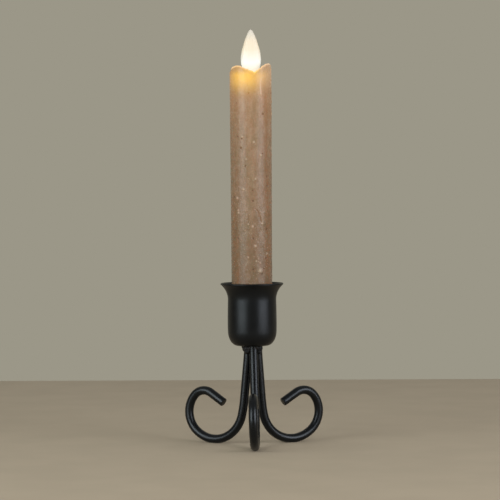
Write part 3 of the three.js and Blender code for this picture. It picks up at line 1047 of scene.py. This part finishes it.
# Small raised lumps: bearing, height and radius
WAX_BUMPS = (
    (247, 164.8, 0.5), (279, 162, 0.5), (300, 155, 0.6), (258, 153, 0.4), (283, 142.5, 0.4),
    (249, 137, 0.5), (303, 119, 0.6), (275, 117.5, 0.45), (282, 107, 0.55), (296, 94, 1.0),
    (229, 132.5, 0.6), (232, 126, 0.5), (232.5, 124.7, 0.5), (263, 118.6, 0.35), (296, 98, 0.4),
    (320, 103, 0.45), (262, 101, 0.4), (284, 99, 0.35),
)
# More of both on the side that faces away: seed, how many, lowest, highest, smallest and largest
BACK_PITS = (11, 22, 90, 190, 0.3, 0.6)
BACK_BUMPS = (12, 16, 90, 185, 0.35, 0.7)
# Reddish brown streaks in the wax: bearing, top, bottom and half width
STAINS = (
    (318, 186, 171, 1.1), (320, 168, 150, 0.8), (322, 148, 92, 2), (332, 140, 84, 2.4),
    (226, 112, 86, 2), (214, 134, 90, 2.6),
)
# A run of wax and a crack, as lines of bearings and heights, each with its half width
RIDGE = ((301.5, 195.5), (299.5, 191), (301, 187))
RIDGE_WIDTH = 0.55
CREASE = ((281, 127), (288.5, 125.6), (294, 123.7), (298.7, 121.3), (303, 119.2))
CREASE_WIDTH = 0.32
CREASE_FINE = 0.7
# The rim's shoulder on the left is melted down
SHOULDER_BEARING = 190
SHOULDER_WIDTH = 34
SHOULDER_INNER = (10 * MM, 11.1 * MM)
# How far each kind of mark stands out
CREASE_RISE = -0.24 * MM
RIDGE_RISE = 0.13 * MM
SHOULDER_RISE = -1.1 * MM
SWELLS = (("wax_swell", 5 * MM, 0.16 * MM), ("wax_lumps", 1.6 * MM, 0.09 * MM))
SWELL_RADIUS = 10.3 * MM
SWELL_START = (62 * MM, 66 * MM)
MARKED_RADIUS = 10 * MM
# Below the rim: where the swells and the shoulder fade, and where the lip's light starts and is full
SWELL_FADE = 2 * MM
SHOULDER_FADE = 3 * MM
LIP_LIGHT = (1.0 * MM, 0.1 * MM)
# The sleeve's mesh: columns, rows in view and inside the cup, and rows of the well and the bore
WAX_COLUMNS = 176
WAX_ROW = 0.42 * MM
HIDDEN_ROW = 2 * MM
HIDDEN_BELOW_CUP_RIM = 3 * MM
SIDE_ENDS = (0.4 * MM, 1.7 * MM)
WELL_BELOW_RIM = 0.9 * MM
WELL_ROWS = 18
WELL_FLARE = 0.8
BORE_ROWS = 12
FOOT_ROUND = ((0.4, 0), (0.12, 0.12))
# Faces are cut finer this far round a mark, and where a mark has at least this share of its depth
FINE_BORDER = 0.35
FINE_SHARE = 0.3


def rim_rise(bearings):
    """Height of the melted rim above its mean, in millimetres, eased between the listed bearings."""
    last, first = WAX_RIM[-1], WAX_RIM[0]
    marks = ((last[0] - 360, last[1]), *WAX_RIM, (first[0] + 360, first[1]))
    angles, rises = np.array(marks).T
    after = np.clip(np.searchsorted(angles, bearings, side="right"), 1, len(angles) - 1)
    share = smooth_share(bearings, angles[after - 1], angles[after])
    return rises[after - 1] + (rises[after] - rises[after - 1]) * share


def smooth_share(values, low, high):
    share = np.clip((values - low) / (high - low), 0, 1)
    return share * share * (3 - 2 * share)


def spots(places, marks):
    """How strongly each place lies in one of the round marks, from 0 to 1."""
    radius, bearing, height = cylindrical(places)
    weights = np.zeros(len(places))
    for mark_bearing, mark_height, size in marks:
        around = (bearing - mark_bearing + 180) % 360 - 180
        across = np.radians(around) * radius / MM
        up = height / MM - mark_height
        weights = np.maximum(weights, np.exp(-((across**2 + up**2) / size**2)))
    return np.where(radius > MARKED_RADIUS, weights, 0)


def strokes(places, points, width):
    """How strongly each place lies on a line of (bearing, height) points on the wax."""
    marks = []
    for a, b in zip(points, points[1:]):
        steps = 2 + int(abs(b[1] - a[1]) + abs(b[0] - a[0]) / 4)
        for share in np.linspace(0, 1, steps * 2):
            marks.append((a[0] + (b[0] - a[0]) * share, a[1] + (b[1] - a[1]) * share, width))
    return spots(places, marks)


def scattered_marks(seed, count, low, high, smallest, largest):
    """Marks on the side that faces away, where none is listed."""
    draw = random.Random(seed)
    limits = ((-20, 180), (low, high), (smallest, largest))
    return [tuple(draw.uniform(*limit) for limit in limits) for _ in range(count)]


def wax_profile(sizes):
    """The sleeve's wall, from the foot up the outside, over the rim and down the well and the bore."""
    bottom = wax_box[0].z
    melt = sizes.melt_start
    rim = sizes.rim_mean + LOWEST_RISE * MM
    foot, head = sizes.foot_radius, sizes.head_radius
    hidden = np.arange(bottom + SIDE_ENDS[0], cup_box[1].z - HIDDEN_BELOW_CUP_RIM, HIDDEN_ROW)
    shown = np.arange(hidden[-1] + WAX_ROW, rim - SIDE_ENDS[1], WAX_ROW)
    side = np.array([*hidden, *shown])
    well = np.linspace(rim - WELL_BELOW_RIM, melt, WELL_ROWS)
    opening = ((well - melt) / (rim - melt)) ** WELL_FLARE
    return [
        (sizes.bore, bottom),
        *((foot - inset * MM, bottom + height * MM) for inset, height in FOOT_ROUND),
        *zip(foot + (head - foot) * np.minimum((side - bottom) / (melt - bottom), 1), side),
        *((head - inset * MM, rim - below * MM) for inset, below in OUTER_LIP),
        *((sizes.rim_bore + outset * MM, rim - below * MM) for outset, below in INNER_LIP),
        *zip(sizes.bore + (sizes.rim_bore - sizes.bore) * opening, well),
        *((sizes.bore, height) for height in np.linspace(melt, bottom, BORE_ROWS)[1:]),
    ]


def refine(piece, marks):
    """Cuts the faces round each mark finer, so that a pit is round."""
    edit(piece)
    mesh = bmesh.from_edit_mesh(piece.data)
    places = np.array([face.calc_center_median() for face in mesh.faces])
    wide = [(bearing, height, size + FINE_BORDER) for bearing, height, size in marks]
    near = spots(places, wide) > FINE_SHARE
    select(piece, "faces", lambda face: near[face.index])
    bpy.ops.mesh.subdivide(number_cuts=1)
    leave_edit()


class TAPER_OT_wax(bpy.types.Operator):
    """Models the wax sleeve with its melted rim, pits, lumps and crease"""

    bl_idname = "taper_holder.wax"
    bl_label = "Wax Sleeve"

    def execute(self, context):
        sizes = context.scene.candle_sizes
        piece = turn_profile("wax_shell", wax_profile(sizes), WAX_COLUMNS)
        pits = [*WAX_PITS, *scattered_marks(*BACK_PITS)]
        bumps = [*WAX_BUMPS, *scattered_marks(*BACK_BUMPS)]
        refine(piece, [*pits, *bumps, *((*point, CREASE_FINE) for point in CREASE)])

        _, bearing, height = cylindrical(vertex_places(piece))
        rise = (rim_rise(bearing) - LOWEST_RISE) / (HIGHEST_RISE - LOWEST_RISE)
        lowest_rim = sizes.rim_mean + LOWEST_RISE * MM
        paint_group(piece, "rim", rise * smooth_share(height, sizes.melt_start, lowest_rim - MM))
        displace(piece, "rim", (HIGHEST_RISE - LOWEST_RISE) * MM, direction="Z")

        places = vertex_places(piece)
        radius, bearing, height = cylindrical(places)
        rim_top = sizes.rim_mean + rim_rise(bearing) * MM
        outside = np.where(radius > SWELL_RADIUS, 1.0, 0.0) * smooth_share(height, *SWELL_START)
        stains = [strokes(places, ((at, top), (at, low)), width) for at, top, low, width in STAINS]
        shoulder = np.exp(-(((bearing - SHOULDER_BEARING) / SHOULDER_WIDTH) ** 2))
        shoulder = shoulder * smooth_share(radius, *SHOULDER_INNER)
        for group, weights in {
            "outside": outside * (1 - smooth_share(height, rim_top - SWELL_FADE, rim_top)),
            "pits": spots(places, pits),
            "bumps": spots(places, bumps),
            "crease": strokes(places, CREASE, CREASE_WIDTH),
            "ridge": strokes(places, RIDGE, RIDGE_WIDTH),
            "stain": np.max(stains, axis=0),
            "shoulder": shoulder * smooth_share(height, rim_top - SHOULDER_FADE, rim_top),
            "lip": smooth_share(height, rim_top - LIP_LIGHT[0], rim_top - LIP_LIGHT[1]),
        }.items():
            paint_group(piece, group, weights)

        for name, size, strength in SWELLS:
            roughen(piece, name, size, strength, "outside")
        displace(piece, "pits", -sizes.pit_depth)
        displace(piece, "bumps", sizes.bump_height)
        displace(piece, "crease", CREASE_RISE)
        displace(piece, "ridge", RIDGE_RISE)
        displace(piece, "shoulder", SHOULDER_RISE, direction="Z")
        hand_over(piece, "wax", "candle", "wax_sleeve", angle=60)
        return {"FINISHED"}


# The flame's outline: half width, and distance below its tip
FLAME_OUTLINE = (
    (0.3, 0.1), (0.75, 0.45), (1.6, 1.9), (2.95, 5.1), (4.05, 8.6), (4.95, 12), (5.35, 15.3),
    (5.25, 17.7), (4.8, 19.9), (4, 22.2), (3, 25.3), (2, 28.3), (1.3, 31.1),
)
TAIL_WIDTH = 4.8
TAIL_DEPTH = 2.6
TAIL_TOP = 196 * MM
WIRE_HOLE = 0.75 * MM
WIRE_HOLE_HALF = Vector((6 * MM, 0, 0))


def smooth_line(points, steps):
    """A flowing line through points, each a pair, with steps between two of them."""
    points = np.array([points[0], *points, points[-1]])
    line = []
    for p, q, r, s in zip(points, points[1:], points[2:], points[3:]):
        for t in np.arange(steps) / steps:
            bend = (2 * p - 5 * q + 4 * r - s) * t**2 + (3 * q - p - 3 * r + s) * t**3
            line.append((2 * q + (r - p) * t + bend) / 2)
    return [*line, points[-1]]


class TAPER_OT_flame(bpy.types.Operator):
    """Models the moulded flame blade on its flat tail"""

    bl_idname = "taper_holder.flame"
    bl_label = "Flame"

    def execute(self, context):
        sizes = context.scene.candle_sizes
        outline = [(0, 0), *smooth_line(FLAME_OUTLINE, 4), (0, FLAME_OUTLINE[-1][1])]
        centre = AXIS + Vector((sizes.flame_shift, 0, 0))
        profile = in_metres(outline, flame_box[1].z, -1)
        piece = turn_profile("flame_blade_shell", profile, steps=72, centre=centre)
        edit(piece)
        bpy.ops.transform.resize(value=(1, sizes.flame_depth, 1), center_override=centre)
        leave_edit()

        low = flame_box[0].z
        tail = upright_block("flame_tail", TAIL_WIDTH, TAIL_DEPTH, low, TAIL_TOP, AXIS)
        bevel_sharp(tail, 0.5 * MM, segments=3)
        combine(piece, tail, "UNION")
        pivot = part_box("pivot_wire")
        middle = AXIS + UP * (pivot[0].z + pivot[1].z) / 2
        hole = rod("wire_hole", WIRE_HOLE, (middle - WIRE_HOLE_HALF, middle + WIRE_HOLE_HALF))
        combine(piece, hole, "DIFFERENCE")
        hand_over(piece, "flame", "flame_blade", "flame", angle=50)
        return {"FINISHED"}


# The well floor's profile: radius and height above its foot, then radius and distance below its top
WELL_FOOT = ((0, 0), (8.0, 0), (8.1, 0.15))
WELL_TOP = ((8.1, 0.25), (7.7, 0.02), (6.6, 0.1), (5.2, 0.28), (3.0, 0.38), (0, 0.4))
FLAME_SLOT = (6.6, 4.4, 6)
SLOT_CORNER = 1.1 * MM
LAMP_HOLE = 1.8 * MM


class TAPER_OT_well(bpy.types.Operator):
    """Models the floor of the melted well, with a slot for the flame and a hole for the lamp"""

    bl_idname = "taper_holder.well"
    bl_label = "Well Floor"

    def execute(self, context):
        low, high = cover_box[0].z, cover_box[1].z
        profile = in_metres(WELL_FOOT, low) + in_metres(WELL_TOP, high, -1)
        piece = turn_profile("well_floor", profile, steps=96)
        slot = block("flame_slot", FLAME_SLOT, AXIS + UP * high)
        edit(slot)
        select(slot, "edges", lambda edge: abs(edge.verts[0].co.z - edge.verts[1].co.z) > MM)
        bpy.ops.mesh.bevel(offset=SLOT_CORNER, segments=6, affect="EDGES")
        leave_edit()
        combine(piece, slot, "DIFFERENCE")
        lamp = (light_box[0] + light_box[1]) / 2
        ends = [Vector((lamp.x, lamp.y, height)) for height in (low - MM, high + MM)]
        combine(piece, rod("lamp_hole", LAMP_HOLE, ends, sides=32), "DIFFERENCE")
        bevel_sharp(piece, 0.12 * MM, angle=50)
        hand_over(piece, "wax", "candle", "flame_cover")
        return {"FINISHED"}


# The base cap's profile: radius and height above its foot, from the middle of its underside round
CAP_PROFILE = (
    (0, 0), (2.4, 0), (4.85, 0), (4.95, 0.3), (5.45, 0.3), (5.55, 0), (6.4, 0), (6.75, 0.12),
    (7.0, 0.35), (8.95, 2), (9.25, 2.3), (9.4, 2.7), (9.4, 4.6), (9.3, 4.82), (9.1, 4.9), (6.85, 4.9),
    (6.7, 5.05), (6.7, 8.85), (6.6, 9.1), (6.35, 9.2), (5.9, 9.2), (5.68, 9.1), (5.6, 8.9), (5.6, 3.2),
    (5.4, 3), (2.6, 3), (0, 3),
)
CAP_FLUTES = 24
CAP_FLUTE_OUT = 9.65 * MM
CAP_FLUTE_TOP = 3.9 * MM
CAP_FLUTE_RADIUS = 0.6 * MM
# Cut out of the cap for the switch: three sides, and height of the middle above the cap's foot
SWITCH_CUTS = (("switch_recess", (6.4, 3.6, 3), 0.5), ("switch_slot", (5, 2, 4), 3))
LUG = (1.5, 1.5, 1.2)
LUG_OUT = 6.95 * MM
LUG_HEIGHT = 7.7 * MM


class TAPER_OT_cap(bpy.types.Operator):
    """Models the base cap with its grip flutes, lugs and switch recess"""

    bl_idname = "taper_holder.cap"
    bl_label = "Base Cap"

    def execute(self, context):
        low = cap_box[0].z
        piece = turn_profile("bayonet_cap", in_metres(CAP_PROFILE, low), steps=96)
        ends = [AXIS + Vector((CAP_FLUTE_OUT, 0, height)) for height in (low - MM, low + CAP_FLUTE_TOP)]
        model = rod("cap_flute", CAP_FLUTE_RADIUS, ends, sides=16)
        flutes = []
        for step in range(CAP_FLUTES):
            turned = Matrix.Rotation((step + 0.5) * FULL_TURN / CAP_FLUTES, 4, "Z")
            matrix = Matrix.Translation(AXIS) @ turned @ Matrix.Translation(-AXIS)
            flutes.append(copy_of(model, f"flute_{step}", matrix))
        bpy.data.objects.remove(model)
        combine(piece, join("flutes", flutes), "DIFFERENCE")
        for name, size, height in SWITCH_CUTS:
            combine(piece, block(name, size, AXIS + UP * (low + height * MM)), "DIFFERENCE")
        for side in (-1, 1):
            lug = block("lug", LUG, AXIS + Vector((side * LUG_OUT, 0, low + LUG_HEIGHT)))
            bevel_sharp(lug, 0.2 * MM)
            combine(piece, lug, "UNION")
        bevel_sharp(piece, 0.09 * MM, angle=50)
        hand_over(piece, "ivory", "cap", "base_cap")
        return {"FINISHED"}


PAD_WIDTH = 2.6
PAD_DEPTH = 2.8
PAD_HEIGHT = 1.3 * MM
STEM_WIDTH = 1.2
KNOB_GROOVE = (0.3, 4, 0.6)
KNOB_GROOVES = (-0.7, 0, 0.7)
STEM_OVERLAP = 0.6 * MM


class TAPER_OT_knob(bpy.types.Operator):
    """Models the ribbed knob of the switch on its stem"""

    bl_idname = "taper_holder.knob"
    bl_label = "Switch Knob"

    def execute(self, context):
        low, high = knob_box
        middle = (low + high) / 2
        pad_top = low.z + PAD_HEIGHT
        piece = upright_block("slider_knob", PAD_WIDTH, PAD_DEPTH, low.z, pad_top, middle)
        bevel_sharp(piece, 0.22 * MM, segments=3)
        for aside in KNOB_GROOVES:
            groove = block("groove", KNOB_GROOVE, (middle.x + aside * MM, middle.y, low.z))
            combine(piece, groove, "DIFFERENCE")
        foot = pad_top - STEM_OVERLAP
        combine(piece, upright_block("stem", STEM_WIDTH, STEM_WIDTH, foot, high.z, middle), "UNION")
        bevel_sharp(piece, 0.05 * MM, angle=50)
        hand_over(piece, "dark", "knob", "switch_knob")
        return {"FINISHED"}


# The lamp's dome, its body below the dome, and the rim at its foot: inwards and above the foot
LAMP_DOME = 1.5 * MM
LAMP_BODY = 5.4 * MM
LAMP_RIM = ((0.05, 0), (0, 0.08), (0, 0.75), (0.09, 0.85), (0.12, 1))
LAMP_FLAT = 0.6
LAMP_BEARING = 245
LEAD_ASIDE = 9
LEAD_OUT = 5.8 * MM
LEAD_WIDTH = 0.5
LEAD_OVERLAP = 0.4 * MM


class TAPER_OT_lamp(bpy.types.Operator):
    """Models the domed lamp with its rim and its two leads"""

    bl_idname = "taper_holder.lamp"
    bl_label = "Lamp"

    def execute(self, context):
        low, high = light_box
        radius = (high.x - low.x) / 2
        body = radius - LAMP_RIM[-1][0] * MM
        dome = high.z - LAMP_DOME
        foot = dome - LAMP_BODY
        profile = [(0, foot), (radius * LAMP_FLAT, foot)]
        profile += [(radius - inset * MM, foot + height * MM) for inset, height in LAMP_RIM]
        for x, y in arc((0, 0), 1, 0, math.pi / 2, steps=12):
            profile.append((body * x, dome + LAMP_DOME * y))
        piece = turn_profile("domed_lamp", profile, steps=48, centre=(low + high) / 2)
        for aside in (-LEAD_ASIDE, LEAD_ASIDE):
            place = AXIS + LEAD_OUT * outwards(LAMP_BEARING + aside)
            lead = upright_block("lead", LEAD_WIDTH, LEAD_WIDTH, low.z, foot + LEAD_OVERLAP, place)
            bevel_sharp(lead, 0.12 * MM)
            combine(piece, lead, "UNION")
        hand_over(piece, "epoxy", "candle", "light")
        return {"FINISHED"}


# A battery's profile: radius and height above its flat end, then radius and distance below its top
CELL_FOOT = (
    (0, 0.12), (2.2, 0.12), (4.25, 0.12), (4.45, 0), (4.8, 0), (5.08, 0.08), (5.22, 0.25),
    (5.25, 0.5), (5.25, 15), (5.25, 30),
)
CELL_HEAD = (
    (5.25, 1.4), (5.2, 1.05), (5.05, 0.88), (4.75, 0.82), (4.6, 0.95), (4.35, 0.98), (3.1, 0.92),
    (2.15, 0.85), (1.95, 0.75), (1.9, 0.6), (1.9, 0.18), (1.84, 0.05), (1.7, 0), (0.8, 0), (0, 0),
)


class TAPER_OT_cells(bpy.types.Operator):
    """Models one battery and copies it for the other"""

    bl_idname = "taper_holder.cells"
    bl_label = "Batteries"

    def execute(self, context):
        low, high = cell_box
        profile = in_metres(CELL_FOOT, low.z) + in_metres(CELL_HEAD, high.z, -1)
        lower = turn_profile("cell_lower", profile, steps=72)
        rise = UP * (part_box("battery_upper")[0].z - low.z)
        upper = copy_of(lower, "cell_upper", Matrix.Translation(rise))
        hand_over(lower, "jacket", "candle", "battery_lower")
        hand_over(upper, "jacket", "candle", "battery_upper")
        return {"FINISHED"}


COIL_TURNS = 12
COIL_BORE = 1.3 * MM
WIRE_HALF = 0.3 * MM
COIL_TOP_START = 1.2 * MM
COIL_TOP_RISE = 0.02 * MM
COIL_TOP_DIP = 0.12 * MM


class TAPER_OT_coil(bpy.types.Operator):
    """Models the drive coil with the turns of its outer layer"""

    bl_idname = "taper_holder.coil"
    bl_label = "Drive Coil"

    def execute(self, context):
        low, high = coil_box
        half = (high.z - low.z) / COIL_TURNS / 2
        outer = (high.x - low.x) / 2
        seat = outer - half
        profile = [(seat, low.z)]
        for turn_index in range(COIL_TURNS):
            middle = low.z + (2 * turn_index + 1) * half
            profile += arc((seat, middle), half, -math.pi / 2, math.pi / 2, steps=6)[1:-1]
        profile.append((seat, high.z))
        for radius in np.arange(outer - COIL_TOP_START, COIL_BORE + WIRE_HALF, -2 * WIRE_HALF):
            profile += [(radius + WIRE_HALF, high.z - COIL_TOP_RISE), (radius, high.z - COIL_TOP_DIP)]
        profile += [(COIL_BORE, high.z - COIL_TOP_DIP), (COIL_BORE, low.z), (seat, low.z)]
        piece = turn_profile("wound_coil", profile, steps=72)
        hand_over(piece, "copper", "candle", "drive_coil", angle=60)
        return {"FINISHED"}


# Nodes that keep their own shape, by their finish and the record's slot
KEPT_NODES = {
    ("ivory", "ivory_plastic"): ("core_tube",),
    ("steel", "plated_steel"): (
        "pivot_wire", "flame_magnet", "top_contact", "contact_strip", "spring_plate", "battery_spring",
        "coil_core",
    ),
    ("board", "board_green"): ("circuit_board",),
    ("dark", "dark_plastic"): ("control_chip", "switch_body"),
}


class TAPER_OT_inner_finishes(bpy.types.Operator):
    """Finishes the inner parts that keep their own shape"""

    bl_idname = "taper_holder.inner_finishes"
    bl_label = "Inner Finishes"

    def execute(self, context):
        for (name, slot), nodes in KEPT_NODES.items():
            for node in nodes:
                set_finish(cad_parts[node], name)
        return {"FINISHED"}


# Stage
FLOOR_BACK = 380 * MM
FLOOR_FRONT = -1500 * MM
FLOOR_HALF_WIDTH = 1800 * MM
SOFTBOX_SIZE = (860 * MM, 860 * MM)
SOFTBOX_HEIGHT = 430 * MM
LEFT_TINT = (0.93, 0.98, 0.99)
RIGHT_TINT = (0.93, 0.94, 1.0)
FILL_DISTANCE = 1700 * MM
FILL_TINT = (1.0, 0.96, 0.92)
ROOM_FRONT = (0.035, 0.035, 0.035)
ROOM_ABOVE = (0.36, 0.355, 0.34)
SENSOR_WIDTH = 36
VIEW_NEAR = 10 * MM
VIEW_FAR = 20


class TAPER_OT_stage(bpy.types.Operator):
    """Lays the plain floor and sets the wall colour, the softboxes and the camera"""

    bl_idname = "taper_holder.stage"
    bl_label = "Stage"

    def execute(self, context):
        scene = context.scene
        settings = scene.stage_settings
        self.add_floor()
        self.add_camera(scene, settings)
        front = settings.camera_azimuth
        distance, power = settings.softbox_distance, settings.softbox_power
        self.add_softbox("softbox_left", front - settings.left_side, distance, power, LEFT_TINT)
        self.add_softbox("softbox_right", front + settings.right_side, distance, power, RIGHT_TINT)
        fill = self.add_softbox("fill", front, FILL_DISTANCE, settings.fill_power, FILL_TINT)
        fill.visible_glossy = False
        self.add_room(scene, scene.finish_colours.wall)
        scene.view_settings.view_transform = "Standard"
        return {"FINISHED"}

    def add_room(self, scene, wall):
        """A plain wall all round for the eye. Its light comes from behind the object and from above."""
        scene.world = bpy.data.worlds.new("Room")
        scene.world.use_nodes = True
        tree = scene.world.node_tree
        background = next(node for node in tree.nodes if node.type == "BACKGROUND")
        direction = put("TexCoord", {}, "Generated", tree)
        light = mix(ease(along(direction, "Y"), 0.0, 0.5), ROOM_FRONT, wall)
        light = mix(ease(along(direction, "Z"), 0.3, 0.9), light, ROOM_ABOVE)
        seen = put("LightPath", {}, "Is Camera Ray", tree)
        connect(background, {"Color": mix(seen, light, wall)})

    def add_floor(self):
        floor = start("floor", "plane", size=1)
        floor.scale = (2 * FLOOR_HALF_WIDTH, FLOOR_BACK - FLOOR_FRONT, 1)
        floor.location = AXIS + Vector((0, (FLOOR_BACK + FLOOR_FRONT) / 2, 0))
        lay_place()
        floor.data.materials.append(finish("floor"))

    def add_camera(self, scene, settings):
        camera = bpy.data.objects.new("camera", bpy.data.cameras.new("camera"))
        scene.collection.objects.link(camera)
        angle = settings.camera_azimuth
        place = AXIS + settings.camera_distance * Vector((math.sin(angle), -math.cos(angle), 0))
        camera.matrix_world = (
            Matrix.Translation(place + UP * settings.camera_height)
            @ Matrix.Rotation(angle, 4, "Z")
            @ Matrix.Rotation(math.pi / 2 - settings.camera_tilt, 4, "X")
            @ Matrix.Rotation(settings.camera_roll, 4, "Z")
        )
        camera.data.sensor_width = SENSOR_WIDTH
        camera.data.lens = settings.lens
        camera.data.shift_x = settings.shift
        camera.data.clip_start = VIEW_NEAR
        camera.data.clip_end = VIEW_FAR
        scene.camera = camera

    def add_softbox(self, name, azimuth, distance, power, tint):
        """A soft light that faces the candle's axis and is itself out of sight."""
        away = Vector((math.sin(azimuth), -math.cos(azimuth), 0))
        data = bpy.data.lights.new(name, "AREA")
        data.shape = "RECTANGLE"
        data.size, data.size_y = SOFTBOX_SIZE
        data.energy = power
        data.color = tint
        light = bpy.data.objects.new(name, data)
        bpy.context.collection.objects.link(light)
        light.location = AXIS + distance * away + UP * SOFTBOX_HEIGHT
        light.rotation_euler = (-away).to_track_quat("-Z", "Y").to_euler()
        light.visible_camera = False
        return light


class TAPER_PT_panel(bpy.types.Panel):
    """Lists the pieces in the order in which they are made"""

    bl_idname = "TAPER_PT_panel"
    bl_label = "Taper Holder"
    bl_space_type = "VIEW_3D"
    bl_region_type = "UI"
    bl_category = "Taper Holder"

    def draw(self, context):
        for operator in OPERATORS:
            self.layout.operator(operator.bl_idname)
        for group in GROUPS:
            box = self.layout.box()
            settings = getattr(context.scene, group)
            for name in settings.__annotations__:
                box.prop(settings, name)


OPERATORS = (
    TAPER_OT_cup, TAPER_OT_rods, TAPER_OT_weld, TAPER_OT_wax, TAPER_OT_well, TAPER_OT_flame,
    TAPER_OT_cap, TAPER_OT_knob, TAPER_OT_lamp, TAPER_OT_cells, TAPER_OT_coil,
    TAPER_OT_inner_finishes, TAPER_OT_stage,
)
GROUPS = {
    "holder_sizes": HolderSizes,
    "candle_sizes": CandleSizes,
    "finish_colours": FinishColours,
    "stage_settings": StageSettings,
}


def register():
    for name, group in GROUPS.items():
        bpy.utils.register_class(group)
        setattr(bpy.types.Scene, name, bpy.props.PointerProperty(type=group))
    for cls in (*OPERATORS, TAPER_PT_panel):
        bpy.utils.register_class(cls)


def unregister():
    for cls in reversed((*OPERATORS, TAPER_PT_panel)):
        bpy.utils.unregister_class(cls)
    for name, group in reversed(GROUPS.items()):
        delattr(bpy.types.Scene, name)
        bpy.utils.unregister_class(group)


def main():
    register()
    for operator in OPERATORS:
        area, name = operator.bl_idname.split(".")
        getattr(getattr(bpy.ops, area), name)()


if __name__ == "__main__":
    main()
